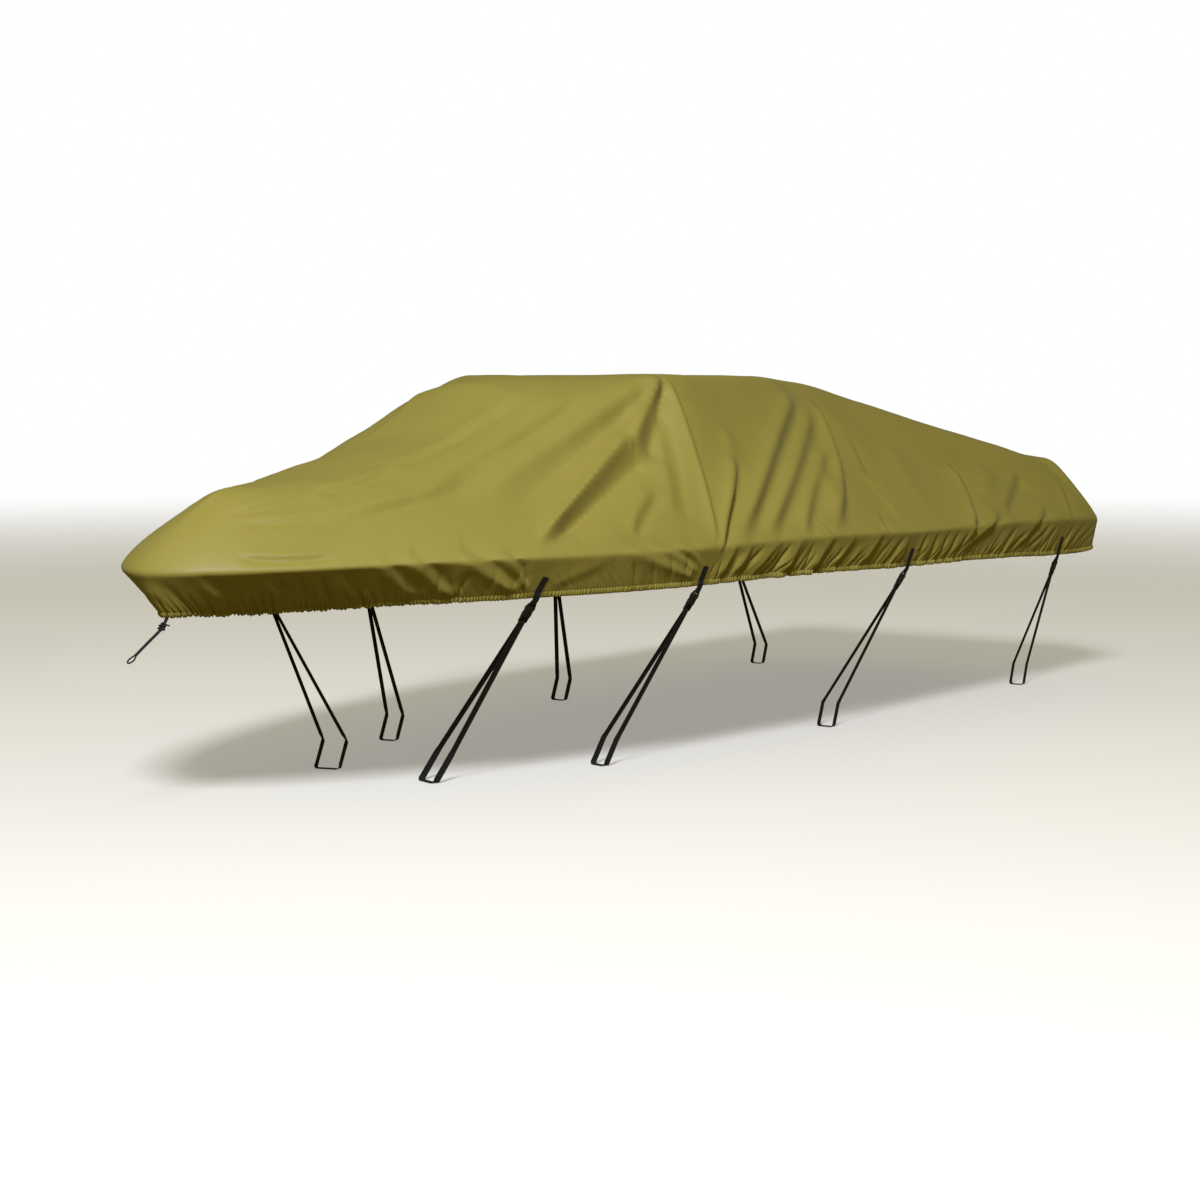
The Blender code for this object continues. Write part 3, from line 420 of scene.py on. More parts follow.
SHARP_ANGLE = 38.0

# Cord at the nose.
CORD = 0.006
CORD_SIDES = 12
CORD_POINTS = 150
# A direction that the cord never runs along.
CORD_WIDE = (0.4, 0.0, 1.0)
KNOT_X = 0.100
KNOT_Z = -0.192
KNOT_LENGTH = 0.036
EYE_X = -0.028
EYE_Z = -0.283
EYE_LENGTH = 0.045
EYE_WIDTH = 0.026
# The eye's side, as shares of its length and of its width.
EYE_SIDE = ((0.30, 0.34), (0.66, 0.50), (0.93, 0.28))
STRAND_GAP = 0.0045
LEAD_GAP = 0.0048
LEAD_BACK = 0.0055
LEAD_DROP = 0.0015
STRAIGHT_END = 0.005
# The knot's own turns: how far round, how far out across and through, and its two short free ends.
KNOT_TURNS = 2.6
KNOT_ACROSS = 0.0112
KNOT_THROUGH = 0.0092
FREE_END = 0.013
KNOT_START = 0.6
KNOT_FILL = 0.78
KNOT_WAVE = 0.0024
KNOT_SWELL = 0.16
KNOT_SWELL_START = 3.6
# The free ends' directions: out of the knot's back, aside and along its axis.
FIRST_FREE = (0.8, -0.5, -0.3)
LAST_FREE = (0.7, -0.6, 0.5)
TURN_POINTS = 80
FREE_POINTS = 8
KNOT_POINTS = 170

# Linear colours of the finishes.
OLIVE_LIGHT = (0.392, 0.324, 0.058)
OLIVE_DARK = (0.342, 0.279, 0.043)
BLACK_WEB = (0.0130, 0.0125, 0.0125)
WORN_WEB = (0.028, 0.026, 0.025)
BLACK_PLASTIC = (0.0120, 0.0120, 0.0125)
WORN_PLASTIC = (0.022, 0.022, 0.023)
BLACK_CORD = (0.0120, 0.0120, 0.0125)
# painted shade for the grooves between the cord's braided strands, and the lighter colour of the strands'
# crests
CORD_GROOVE_SHADE = (0.006, 0.006, 0.006)
CORD_STRAND_CREST = (0.022, 0.021, 0.021)
BLACK_THREAD = (0.050, 0.050, 0.052)
OLIVE_THREAD = (0.300, 0.250, 0.065)
THREAD_SHADE = 0.7

# Pitches of the weaves, in metres. A band texture with a scale of BAND_SCALE / p has a pitch of p.
BAND_SCALE = 0.31416
WEAVE_PITCH = 0.0011
RIB_PITCH = 0.0018
TWILL_PITCH = 0.0024
BRAID_PITCH = 0.0020
BRAID_ANGLE = 52.0


def rows_as_dicts(columns, rows):
    """Table rows with their columns' names."""
    return [dict(zip(columns, row)) for row in rows]


def ease(t):
    """A smooth step from 0 to 1 as t goes from 0 to 1."""
    t = np.clip(t, 0.0, 1.0)
    return t * t * (3.0 - 2.0 * t)


def unit(vector):
    """A vector's direction."""
    return vector / np.linalg.norm(vector)


def units(vectors):
    """Directions of many vectors."""
    return vectors / np.maximum(np.linalg.norm(vectors, axis=-1, keepdims=True), SHORTEST)


def lengths(points):
    """Distance along a line at each of its points."""
    return np.concatenate([[0.0], np.cumsum(np.linalg.norm(np.diff(points, axis=0), axis=1))])


def path_length(points):
    """Length of a line through points."""
    return float(np.linalg.norm(np.diff(np.asarray(points), axis=0), axis=1).sum())


def between(value, start, end, blend):
    """1 between start and end and 0 outside, with a smooth change over blend at each."""
    return ease((value - start) / blend + 0.5) * ease((end - value) / blend + 0.5)


# The smooth skin of the cloth.

def column(name):
    """One column of the section table as an array."""
    return np.array([row[SECTION_COLUMNS.index(name)] for row in SECTIONS], dtype=float)


def along(name, station):
    """A column's value at any station, on a smooth curve that never overshoots its rows."""
    knots = column("station")
    values = column(name)
    gaps = np.diff(knots)
    rates = np.diff(values) / gaps
    slopes = np.empty(len(knots))
    slopes[0] = rates[0]
    slopes[-1] = rates[-1]
    before = rates[:-1]
    after = rates[1:]
    same_way = before * after > 0.0
    total = np.where(same_way, before + after, 1.0)
    slopes[1:-1] = np.where(same_way, 2.0 * before * after / total, 0.0)
    station = np.clip(np.asarray(station, dtype=float), knots[0], knots[-1])
    index = np.clip(np.searchsorted(knots, station, side="right") - 1, 0, len(gaps) - 1)
    gap = gaps[index]
    t = (station - knots[index]) / gap
    ease_in = (1.0 + 2.0 * t) * (1.0 - t) ** 2
    ease_out = t * t * (3.0 - 2.0 * t)
    pull_in = t * (1.0 - t) ** 2 * gap
    pull_out = t * t * (t - 1.0) * gap
    return (ease_in * values[index] + ease_out * values[index + 1]
            + pull_in * slopes[index] + pull_out * slopes[index + 1])


def edge_outline():
    """Plan of one side's knuckle edge, nose to the middle of the tail, as x, y and run of edge."""
    angle = np.linspace(0.0, math.pi / 2, NOSE_SAMPLES)
    nose_x = WIDEST * (1.0 - np.cos(angle))
    nose_y = HALF_BEAM * np.sin(angle) ** NOSE_FULLNESS
    corner_x = LENGTH - TAIL_CORNER
    side_x = np.linspace(WIDEST, corner_x, SIDE_SAMPLES)[1:]
    side_y = HALF_BEAM - (HALF_BEAM - TAIL_HALF) * ((side_x - WIDEST) / (corner_x - WIDEST)) ** 2
    turn = np.linspace(0.0, math.pi / 2, CORNER_SAMPLES)[1:]
    turn_x = corner_x + TAIL_CORNER * np.sin(turn)
    turn_y = TAIL_HALF - TAIL_CORNER + TAIL_CORNER * np.cos(turn)
    tail_y = np.linspace(TAIL_HALF - TAIL_CORNER, 0.0, TAIL_SAMPLES)[1:]
    x = np.concatenate([nose_x, side_x, turn_x, np.full(len(tail_y), LENGTH)])
    y = np.concatenate([nose_y, side_y, turn_y, tail_y])
    run = np.concatenate([[0.0], np.cumsum(np.hypot(np.diff(x), np.diff(y)))])
    return x, y, run


EDGE_X, EDGE_Y, EDGE_RUN = edge_outline()
HALF_EDGE = float(EDGE_RUN[-1])
PART_COLUMN = HALF_EDGE / (2 * PART_COLUMNS)
ORIGIN = np.array([SUPPORT_STATION, 0.0, float(along("crown_z", SUPPORT_STATION)) - CLOTH])
SIDES = (("port", -1.0), ("starboard", 1.0))


def edge_point(run):
    """Points of the knuckle edge in plan, at distances along it from the nose."""
    return np.stack([np.interp(run, EDGE_RUN, EDGE_X), np.interp(run, EDGE_RUN, EDGE_Y)], -1)


def edge_frame(run):
    """Points of the knuckle edge in plan and its outward normals."""
    before = np.clip(run - EDGE_STEP, 0.0, HALF_EDGE)
    after = np.clip(run + EDGE_STEP, 0.0, HALF_EDGE)
    ahead = units(edge_point(after) - edge_point(before))
    normal = np.stack([-ahead[..., 1], ahead[..., 0]], -1)
    normal[run <= NEARLY] = (-1.0, 0.0)
    normal[run >= HALF_EDGE - NEARLY] = (1.0, 0.0)
    return edge_point(run), normal


def half_beam_at(x):
    """Half the beam of the knuckle edge at a station, before the tail's corner is rounded."""
    forward = np.clip(1.0 - (1.0 - x / WIDEST) ** 2, 0.0, 1.0) ** (NOSE_FULLNESS / 2)
    aft = (np.maximum(x - WIDEST, 0.0) / (LENGTH - TAIL_CORNER - WIDEST)) ** 2
    return np.where(x < WIDEST, HALF_BEAM * forward, HALF_BEAM - (HALF_BEAM - TAIL_HALF) * aft)


def round_min(a, b, size):
    """The lower of two heights, with the crease between them rounded over."""
    mix = np.clip(0.5 + 0.5 * (b - a) / size, 0.0, 1.0)
    return b + (a - b) * mix - size * mix * (1.0 - mix)


def smooth_skin(run, level):
    """The cloth without its folds, for the starboard side (+Y).

    level is -1 at the hem, 0 at the knuckle edge and 1 on the centreline.
    """
    run, level = np.broadcast_arrays(np.asarray(run, dtype=float), np.asarray(level, dtype=float))
    point, normal = edge_frame(run)
    station = point[..., 0]
    share = SPINE_BY_STATION * station / LENGTH + SPINE_BY_RUN * run / HALF_EDGE
    spine = np.stack([SPINE_START + (SPINE_END - SPINE_START) * share, np.zeros(run.shape)], -1)
    reach = spine - point
    inboard = -(reach * normal).sum(-1)
    up = np.clip(level, 0.0, 1.0)
    plan = point + reach * up[..., None]
    x = plan[..., 0]
    y = plan[..., 1]
    tail = np.clip(normal[..., 0], 0.0, 1.0) ** 2
    side = {}
    for name in TAIL_PANEL:
        side[name] = along(name, station) * (1.0 - tail) + TAIL_PANEL[name] * tail
    edge_z = along("edge_z", station)
    wall = edge_z + side["side_rise"] * (inboard * up / side["side_run"]) ** side["side_bulge"]
    shoulder_y = np.maximum(half_beam_at(x) - along("side_run", x), SHOULDER_LEAST)
    shoulder_z = along("side_rise", x) + along("edge_z", x)
    crown_z = np.maximum(along("crown_z", x), shoulder_z)
    roof = crown_z - (crown_z - shoulder_z) * (y / shoulder_y) ** 2
    z = np.maximum(round_min(wall, roof, SHOULDER_ROUND), edge_z)
    z = np.where(up > 0.0, z, edge_z)
    down = np.clip(-level, 0.0, 1.0)
    tuck = along("skirt_tuck", station) * down
    return np.stack([x - normal[..., 0] * tuck, y - normal[..., 1] * tuck,
                     z - along("skirt_drop", station) * down], -1)


def section_lines(runs):
    """Points up each cross-section of the starboard skin, hem to centreline, and their girths."""
    skirt = np.linspace(-1.0, 0.0, SKIRT_SAMPLES)
    canopy = np.linspace(0.0, 1.0, CANOPY_SAMPLES)[1:] ** CANOPY_SAMPLE_POWER
    points = smooth_skin(runs[None, :], np.concatenate([skirt, canopy])[:, None])
    steps = np.linalg.norm(np.diff(points, axis=0), axis=-1)
    girth = np.concatenate([np.zeros((1, len(runs))), np.cumsum(steps, axis=0)])
    return points, girth - girth[SKIRT_SAMPLES - 1]


def read_lines(points, girth, wanted):
    """The points of each cross-section at the wanted girths, one column each."""
    found = np.empty(wanted.shape + (3,))
    for index in range(wanted.shape[1]):
        for axis in range(3):
            found[:, index, axis] = np.interp(wanted[:, index], girth[:, index], points[:, index, axis])
    return found


def rounded_lines(points, girth, wanted):
    """read_lines with the knuckle edge turned over a small radius."""
    ends = np.ones((1, wanted.shape[1]))
    low, corner, high = (read_lines(points, girth, place * ends)
                         for place in (-KNUCKLE_ROUND, 0.0, KNUCKLE_ROUND))
    t = np.clip((wanted + KNUCKLE_ROUND) / (2.0 * KNUCKLE_ROUND), 0.0, 1.0)[..., None]
    bend = (1.0 - t) ** 2 * low + 2.0 * t * (1.0 - t) * corner + t ** 2 * high
    near = (np.abs(wanted) < KNUCKLE_ROUND)[..., None]
    return np.where(near, bend, read_lines(points, girth, wanted))


def ring(side):
    """Starboard columns as a whole ring: port from nose to tail, then starboard back to the nose."""
    port = side * np.array([1.0, -1.0, 1.0]) if side.ndim == 3 else side
    return np.concatenate([port, side[:, -2:0:-1]], axis=1)


def grid_normals(points):
    """Outward unit normals of a ring of points, rows running up the cloth."""
    across = np.roll(points, -1, axis=1) - np.roll(points, 1, axis=1)
    return units(np.cross(across, np.gradient(points, axis=0)))


def column_runs(count):
    """Runs of one side's columns, nose to tail, closest together where the folds are sharpest."""
    run = np.linspace(0.0, HALF_EDGE, EDGE_SAMPLES)
    share = np.cumsum(1.0 + CROWDING * between(run, CROWD_START, CROWD_END, CROWD_BLEND))
    share = (share - share[0]) / (share[-1] - share[0])
    return np.interp(np.linspace(0.0, 1.0, count + 1), share, run)


# Folds, slack and gathers.

def noise(x, y, seed):
    """Smooth seeded noise between -1 and 1, with features about one unit across."""
    table = np.random.default_rng(seed).uniform(-1.0, 1.0, (NOISE_CELLS, NOISE_CELLS))
    left = np.floor(x).astype(int)
    low = np.floor(y).astype(int)
    right_share = ease(x - left)
    top_share = ease(y - low)

    def row(level):
        """The table read along one of its rows."""
        level = level % NOISE_CELLS
        at_left = table[left % NOISE_CELLS, level]
        at_right = table[(left + 1) % NOISE_CELLS, level]
        return at_left * (1.0 - right_share) + at_right * right_share

    return row(low) * (1.0 - top_share) + row(low + 1) * top_share


def side_folds(columns, rows, sign):
    """A table's folds for one side; starboard's are moved along the cloth and made shallower."""
    folds = rows_as_dicts(columns, rows)
    if sign < 0:
        return folds
    for fold in folds:
        if fold["head_girth"] >= STARBOARD_MOVED_FROM:
            for end in ("head_run", "mid_run", "foot_run"):
                fold[end] += STARBOARD_MOVE + STARBOARD_SWAY * math.sin(STARBOARD_SWAY_RATE * fold[end])
        for depth in ("rise", "sink", "height"):
            if depth in fold:
                fold[depth] *= STARBOARD_SHARE
    return folds


def fold_line(fold, sign):
    """Points of a fold's line on the smooth skin of its own side."""
    t = np.linspace(0.0, 1.0, FOLD_POINTS)
    shares = {"head": (1.0 - t) * (1.0 - 2.0 * t), "mid": 4.0 * t * (1.0 - t), "foot": t * (2.0 * t - 1.0)}
    runs = sum(fold[f"{place}_run"] * share for place, share in shares.items())
    girths = sum(fold[f"{place}_girth"] * share for place, share in shares.items())
    points, girth = section_lines(runs)
    line = read_lines(points, girth, np.diag(girths))
    return np.array([line[index, index] for index in range(FOLD_POINTS)]) * (1.0, sign, 1.0)


def beside_line(near, out, line, sign):
    """Distance of points from a line, positive on its aft side, and their place along it."""
    nearest = np.full(len(near), np.inf)
    place = np.zeros(len(near))
    aside = np.ones(len(near))
    for index in range(FOLD_POINTS - 1):
        leg = line[index + 1] - line[index]
        t = np.clip(((near - line[index]) @ leg) / (leg @ leg), 0.0, 1.0)
        away = near - line[index] - t[:, None] * leg
        distance = np.linalg.norm(away, axis=-1)
        closer = distance < nearest
        nearest = np.where(closer, distance, nearest)
        place = np.where(closer, (index + t) / (FOLD_POINTS - 1), place)
        aft = (away * np.cross(leg, out)).sum(-1) * sign
        aside = np.where(closer, np.where(aft < 0.0, -1.0, 1.0), aside)
    return nearest * aside, place


def lap_profile(fold, aside, place):
    """The height of a lap across its line."""
    across = aside / (fold["head_share"] * (1.0 - place) + fold["foot_share"] * place)
    before = (np.hypot(np.minimum(across, 0.0), LAP_ROUND) - LAP_ROUND) / fold["fore"]
    after = np.maximum(across - fold["cliff"], 0.0) / fold["aft"]
    inside = np.clip(across, 0.0, fold["cliff"])
    share = inside ** 2 / (inside + LAP_ROUND) * (fold["cliff"] + LAP_ROUND) / fold["cliff"] ** 2
    drop = 1.0 - (1.0 - share) ** LAP_CURL
    return fold["rise"] * (1.0 - drop) * np.exp(-before) - fold["sink"] * drop * np.exp(-after)


def swell_profile(fold, aside, place):
    """The height of a swell across its line."""
    width = fold["head_width"] * (1.0 - place) + fold["foot_width"] * place
    return fold["height"] * np.exp(-(np.abs(aside) / width) ** SWELL_SHAPE)


def fold_reach(fold):
    """How far from its line a fold still lifts the cloth."""
    if "cliff" in fold:
        width = max(fold["fore"], fold["aft"]) * FOLD_REACH + fold["cliff"]
        return width * max(fold["head_share"], fold["foot_share"])
    return FOLD_REACH * max(fold["head_width"], fold["foot_width"])


def fold_heights(points, normals, sign):
    """How far the folds lift or sink each point of one side."""
    total = np.zeros(points.shape[:-1])
    laps = side_folds(LAP_COLUMNS, PORT_LAPS, sign)
    swells = side_folds(SWELL_COLUMNS, PORT_SWELLS, sign)
    for fold in laps + swells:
        line = fold_line(fold, sign)
        reach = fold_reach(fold)
        inside = np.all((points > line.min(axis=0) - reach) & (points < line.max(axis=0) + reach), -1)
        if not inside.any():
            continue
        aside, place = beside_line(points[inside], normals[inside], line, sign)
        profile = lap_profile if "cliff" in fold else swell_profile
        least = FOLD_FADE_LEAST / path_length(line)
        fade_in = ease(place / max(FOLD_FADE_IN, least))
        fade_out = ease((1.0 - place) / max(FOLD_FADE_OUT, least * FOLD_FADE_FOOT))
        edge = ease((reach - np.abs(aside)) / (FOLD_EDGE * reach))
        total[inside] += profile(fold, aside, place) * (fade_in * fade_out) * edge
    return total


def slack_heights(run, girth, seed):
    """Slow unevenness of the cloth between its folds."""
    total = np.zeros(run.shape)
    for row in rows_as_dicts(SLACK_COLUMNS, SLACK):
        up = girth / row["up"] + SLACK_SHIFT
        total += row["depth"] * noise(run / row["along"], up, row["seed"] + seed)
    return total


def tab_run(strap):
    """The place of a strap's tab along the edge."""
    return (math.floor(strap["run"] / PART_COLUMN) + 0.5) * PART_COLUMN


def calm(run):
    """0 under a sewn tab, where the skirt lies flat, and 1 away from the tabs."""
    factor = np.ones(np.shape(run))
    for strap in rows_as_dicts(STRAP_COLUMNS, STRAPS):
        factor = factor * ease((np.abs(run - tab_run(strap)) - TAB_FLAT) / TAB_BLEND)
    return factor


def slackness(run):
    """1 where the skirt is slack and less where it is drawn taut."""
    factor = np.ones(np.shape(run))
    for start, end, share in TAUT_SPANS:
        factor = factor * (1.0 - (1.0 - share) * between(run, start, end, TAUT_BLEND))
    return factor


def uneven(row, across, down, seed):
    """The noise of an UNEVEN_COLUMNS row, across the gathers and down the skirt."""
    row = dict(zip(UNEVEN_COLUMNS, row))
    value = noise(across * row["along"] + row["along_shift"], down * row["down"] + row["down_shift"],
                  seed + row["seed"])
    return np.clip(row["mean"] + row["share"] * value, row["least"], row["most"])


def gather_heights(run, down, seed):
    """The slanting gathers of the skirt; down is 0 at the knuckle edge and 1 at the hem's stitching."""
    turn = 0.5 + 0.5 * np.tanh((run - SLANT_TURN) / SLANT_BLEND)
    slant = (FORE_SLANT * (1.0 - turn) + AFT_SLANT * turn) * np.tanh(run / SLANT_NOSE)
    slant = slant * np.tanh((HALF_EDGE - run) / SLANT_TAIL)
    total = np.zeros(run.shape)
    for row in rows_as_dicts(GATHER_COLUMNS, GATHERS):
        across = (run - slant * down) / row["pitch"]
        across = across + uneven(GATHER_SPACING, across, down, row["seed"] + seed)
        leaning = across + GATHER_LEAN * np.sin(2.0 * math.pi * across) / (2.0 * math.pi)
        crest = 2.0 * np.abs(np.sin(math.pi * leaning)) ** GATHER_POWER - GATHER_MEAN
        strength = uneven(GATHER_STRENGTH, across, down, row["seed"] + seed)
        window = ease((down - row["starts"]) / (row["full"] - row["starts"]))
        left = 1.0 - (1.0 - row["at_hem"]) * ease((down - row["full"]) / (1.0 - row["full"] + NEARLY))
        total += row["depth"] * crest * strength * window * left
    return total * slackness(run)


def displaced(skin, run, girth, down, total):
    """The skin lifted by its folds, slack and gathers, and its normals; total is each column's girth."""
    normals = grid_normals(skin)
    starboard = np.arange(skin.shape[1]) > skin.shape[1] // 2
    height = np.zeros(run.shape)
    for side, sign in ((~starboard, -1.0), (starboard, 1.0)):
        height[:, side] = fold_heights(skin[:, side], normals[:, side], sign)
    port_slack, other_slack = (slack_heights(run, girth, seed) for seed in SLACK_SEEDS)
    blend = ease(run / END_BLEND) * ease((HALF_EDGE - run) / END_BLEND)
    height += np.where(starboard, other_slack, port_slack) * blend * ease(girth / SLACK_START)
    below = np.clip(down, 0.0, 1.0)
    port_gathers, other_gathers = (gather_heights(run, below, seed) for seed in GATHER_SEEDS)
    other_gathers = port_gathers * (1.0 - blend) + other_gathers * blend
    flat = calm(run)
    tab_share = TAB_FOLD_SHARE + (1.0 - TAB_FOLD_SHARE) * flat
    height = np.where(girth < 0.0, height * tab_share, height)
    height = height + np.where(starboard, other_gathers, port_gathers) * flat
    height = height * ease((total - girth) / SPINE_FADE)
    return skin + normals * height[..., None], normals


def cloth_grid(runs, points, girth, wanted):
    """A ring of columns at the wanted girths: their runs, girths, displaced points and normals."""
    skin = ring(rounded_lines(points, girth, wanted))
    run = ring(np.broadcast_to(runs, wanted.shape))
    up = ring(wanted)
    down = -up / ring((-girth[0] - CASING)[None, :])
    return run, up, *displaced(skin, run, up, down, ring(girth[-1][None, :]))


class Cloth:
    """The displaced grids of the cloth, from the hem's stitching up, measured from the nose."""

    def __init__(self):
        runs = column_runs(HEM_FINENESS * SIDE_COLUMNS)
        points, girth = section_lines(runs)
        shares = np.array(SKIRT_SHARES + HEM_SHARES)[:, None]
        down = SKIRT_TOP + (girth[0] + CASING - SKIRT_TOP) * shares
        wanted = np.concatenate([np.full((1, len(runs)), KNUCKLE_ROUND), down])[::-1]
        self.skirt_run, self.skirt_girth, self.skirt, self.skirt_out = cloth_grid(runs, points, girth, wanted)
        self.hem_out = self.skirt_out[0]
        self.hem_down = ring(units(points[0] - points[SKIRT_SAMPLES - 1])[None])[0]

        runs = runs[::HEM_FINENESS]
        points, girth = section_lines(runs)
        shares = ((np.arange(1, CANOPY_ROWS + 1) / CANOPY_ROWS) ** CANOPY_CROWDING)[:, None]
        top = KNUCKLE_ROWS[-1]
        lower = np.array((SKIRT_TOP,) + KNUCKLE_ROWS)[:, None] * np.ones((1, len(runs)))
        wanted = np.concatenate([lower, top + (girth[-1] - top) * shares])
        self.canopy_run, self.canopy_girth, self.canopy = cloth_grid(runs, points, girth, wanted)[:3]


def puckers(run, seed):
    """The fine puckers of the elastic casing."""
    across = run / PUCKER_PITCH
    across = across + uneven(PUCKER_SPACING, across, 0.0, seed)
    return np.sin(2.0 * math.pi * across) * uneven(PUCKER_STRENGTH, across, 0.0, seed)


def casing_rows(cloth):
    """Rows of the elastic casing, from under the stitching, round the bottom and up inside."""
    run = cloth.skirt_run[0]
    half = len(run) // 2
    wave, other_wave = (puckers(run, seed) for seed in PUCKER_SEEDS)
    wave[half + 1:] = other_wave[half + 1:]
    flat = calm(run)
    rows = []
    for row in rows_as_dicts(CASING_COLUMNS, CASING_SECTION):
        out = row["out"] * (TAB_CASING_SHARE + (1.0 - TAB_CASING_SHARE) * flat)
        out = out + row["pucker"] * PUCKER_DEPTH * wave * flat
        down = row["down"] - PUCKER_RISE * row["pucker"] * wave * flat
        rows.append(cloth.skirt[0] + cloth.hem_out * out[:, None] + cloth.hem_down * down[:, None])
    return rows


# Mesh building.

def add_object(name, data):
    """A new object in the scene."""
    thing = bpy.data.objects.new(name, data)
    bpy.context.scene.collection.objects.link(thing)
    return thing


def read_all(items, name, width=1, kind=np.int32):
    """One property of all of a mesh's vertices, corners or faces."""
    values = np.empty(width * len(items), dtype=kind)
    items.foreach_get(name, values)
    return values


def new_piece(name, points, faces, material, uvs):
    """A smooth mesh object from points and faces, with one texture point for each vertex."""
    mesh = bpy.data.meshes.new(name)
    mesh.from_pydata(np.asarray(points, dtype=float).tolist(), [], faces)
    mesh.materials.append(material)
    mesh.shade_smooth()
    corners = np.asarray(uvs, dtype=float)[read_all(mesh.loops, "vertex_index")]
    lowest = np.minimum.reduceat(corners[:, 0], read_all(mesh.polygons, "loop_start"))
    lowest = np.repeat(lowest, read_all(mesh.polygons, "loop_total"))
    # a face that crosses the middle of the tail has its port corners taken to starboard
    corners[(lowest < 0.0) & (corners[:, 0] > HALF_EDGE / 2), 0] -= 2.0 * HALF_EDGE
    mesh.uv_layers.new(name="cloth").data.foreach_set("uv", corners.astype(np.float32).ravel())
    return add_object(name, mesh)


def signed_run(run):
    """Run along the edge as a texture place: positive to port and negative to starboard."""
    half = run.shape[-1] // 2
    value = np.array(run)
    value[..., half + 1:] *= -1.0
    return value


def quads(lower, upper):
    """Faces between two rings with as many vertices each."""
    after_low = np.roll(lower, -1)
    after_up = np.roll(upper, -1)
    return np.stack([lower, after_low, after_up, upper], axis=1).tolist()


def halving(fine, coarse):
    """Faces between a ring and the one above it with half as many vertices."""
    middle = fine[1::2]
    after_fine = np.roll(fine[0::2], -1)
    after_coarse = np.roll(coarse, -1)
    return np.stack([fine[0::2], middle, after_fine, after_coarse, coarse], axis=1).tolist()


def vertex_normals(points, faces):
    """Area-weighted normals of a mesh's vertices, not yet of unit length."""
    points = np.asarray(points, dtype=float)
    total = np.zeros_like(points)
    for count in (4, 5):
        corners = np.array([face for face in faces if len(face) == count])
        if len(corners) == 0:
            continue
        normal = np.zeros((len(corners), 3))
        for index in range(1, count - 1):
            first = points[corners[:, index]] - points[corners[:, 0]]
            second = points[corners[:, index + 1]] - points[corners[:, 0]]
            normal += np.cross(first, second)
        for index in range(count):
            np.add.at(total, corners[:, index], normal)
    return total


def stack(rows, runs, girths):
    """Rows of vertices as one mesh's points and texture places, and the numbers in each row."""
    ends = np.cumsum([len(row) for row in rows])
    numbers = [np.arange(end - len(row), end) for row, end in zip(rows, ends)]
    uvs = [np.stack([run, girth], -1) for run, girth in zip(runs, girths)]
    return np.concatenate(rows) - ORIGIN, np.concatenate(uvs), numbers


def build_cloth(cloth, material):
    """The canopy and the skirt with its elastic hem, sharing the row of vertices where they meet."""
    rows = list(cloth.skirt[:-1])
    girths = list(cloth.skirt_girth[:-1])
    rows[0] = rows[0] - cloth.hem_out * SEAM_SINK
    casing = casing_rows(cloth)[::-1]
    casing_girths = [girths[0] - row[0] for row in reversed(CASING_SECTION)]
    fine = len(casing) + len(HEM_SHARES)
    steps = [1] * fine + [SKIRT_STEP] * (len(rows) - len(HEM_SHARES))
    run = signed_run(cloth.skirt_run[0])
    skirt_points, skirt_uvs, skirt_rows = stack(
        [row[::step] for row, step in zip(casing + rows, steps)],
        [run[::step] for step in steps],
        [girth[::step] for girth, step in zip(casing_girths + girths, steps)])
    skirt_faces = []
    to_port = []
    for lower, upper in zip(skirt_rows, skirt_rows[1:]):
        skirt_faces += quads(lower, upper) if len(lower) == len(upper) else halving(lower, upper)
        to_port += [number < len(upper) // 2 for number in range(len(upper))]

    coarse = signed_run(cloth.canopy_run[0])
    spine = len(coarse) // 2 + 1
    points, uvs, numbers = stack(
        [rows[-1][::SKIRT_STEP], *cloth.canopy[1:-1], cloth.canopy[-1][:spine]],
        [run[::SKIRT_STEP], *[coarse] * (len(cloth.canopy) - 2), coarse[:spine]],
        [girths[-1][::SKIRT_STEP], *cloth.canopy_girth[1:-1], cloth.canopy_girth[-1][:spine]])
    numbers[-1] = np.concatenate([numbers[-1], numbers[-1][-2:0:-1]])
    faces = halving(numbers[0], numbers[1])
    for lower, upper in zip(numbers[1:], numbers[2:]):
        faces += quads(lower, upper)

    normals = vertex_normals(points, faces)
    skirt_normals = vertex_normals(skirt_points, skirt_faces)
    joined = normals[numbers[0]] + skirt_normals[skirt_rows[-1]]
    normals[numbers[0]] = joined
    skirt_normals[skirt_rows[-1]] = joined
    pieces = [new_piece("cloth_canopy", points, faces, material, uvs)]
    set_normals(pieces[0], normals)
    for side, wanted in (("port", True), ("starboard", False)):
        part = [face for face, mine in zip(skirt_faces, to_port) if mine == wanted]
        pieces.append(part_of(f"cloth_skirt_{side}", skirt_points, part, skirt_uvs, skirt_normals, material))
    return pieces


def set_normals(piece, normals):
    """Give a mesh's vertices their own normals."""
    piece.data.normals_split_custom_set_from_vertices(units(normals).tolist())


def part_of(name, points, faces, uvs, normals, material):
    """A piece from some of a mesh's faces, with the whole mesh's normals."""
    used = np.unique(np.concatenate(faces))
    number = np.zeros(len(points), dtype=int)
    number[used] = np.arange(len(used))
    renumbered = [number[face].tolist() for face in faces]
    piece = new_piece(name, points[used], renumbered, material, uvs[used])
    set_normals(piece, normals[used])
    return piece


def smooth_path(points, count):
    """A smooth curve through points, read at even parameter steps."""
    points = np.array(points, dtype=float)
    padded = np.concatenate([[2 * points[0] - points[1]], points, [2 * points[-1] - points[-2]]])
    path = []
    for place in np.linspace(0.0, len(points) - 1.0, count):
        index = min(int(place), len(points) - 2)
        t = place - index
        a, b, c, d = padded[index:index + 4]
        path.append(0.5 * (2 * b + (c - a) * t + (2 * a - 5 * b + 4 * c - d) * t ** 2
                           + (3 * b - a - 3 * c + d) * t ** 3))
    return np.array(path)


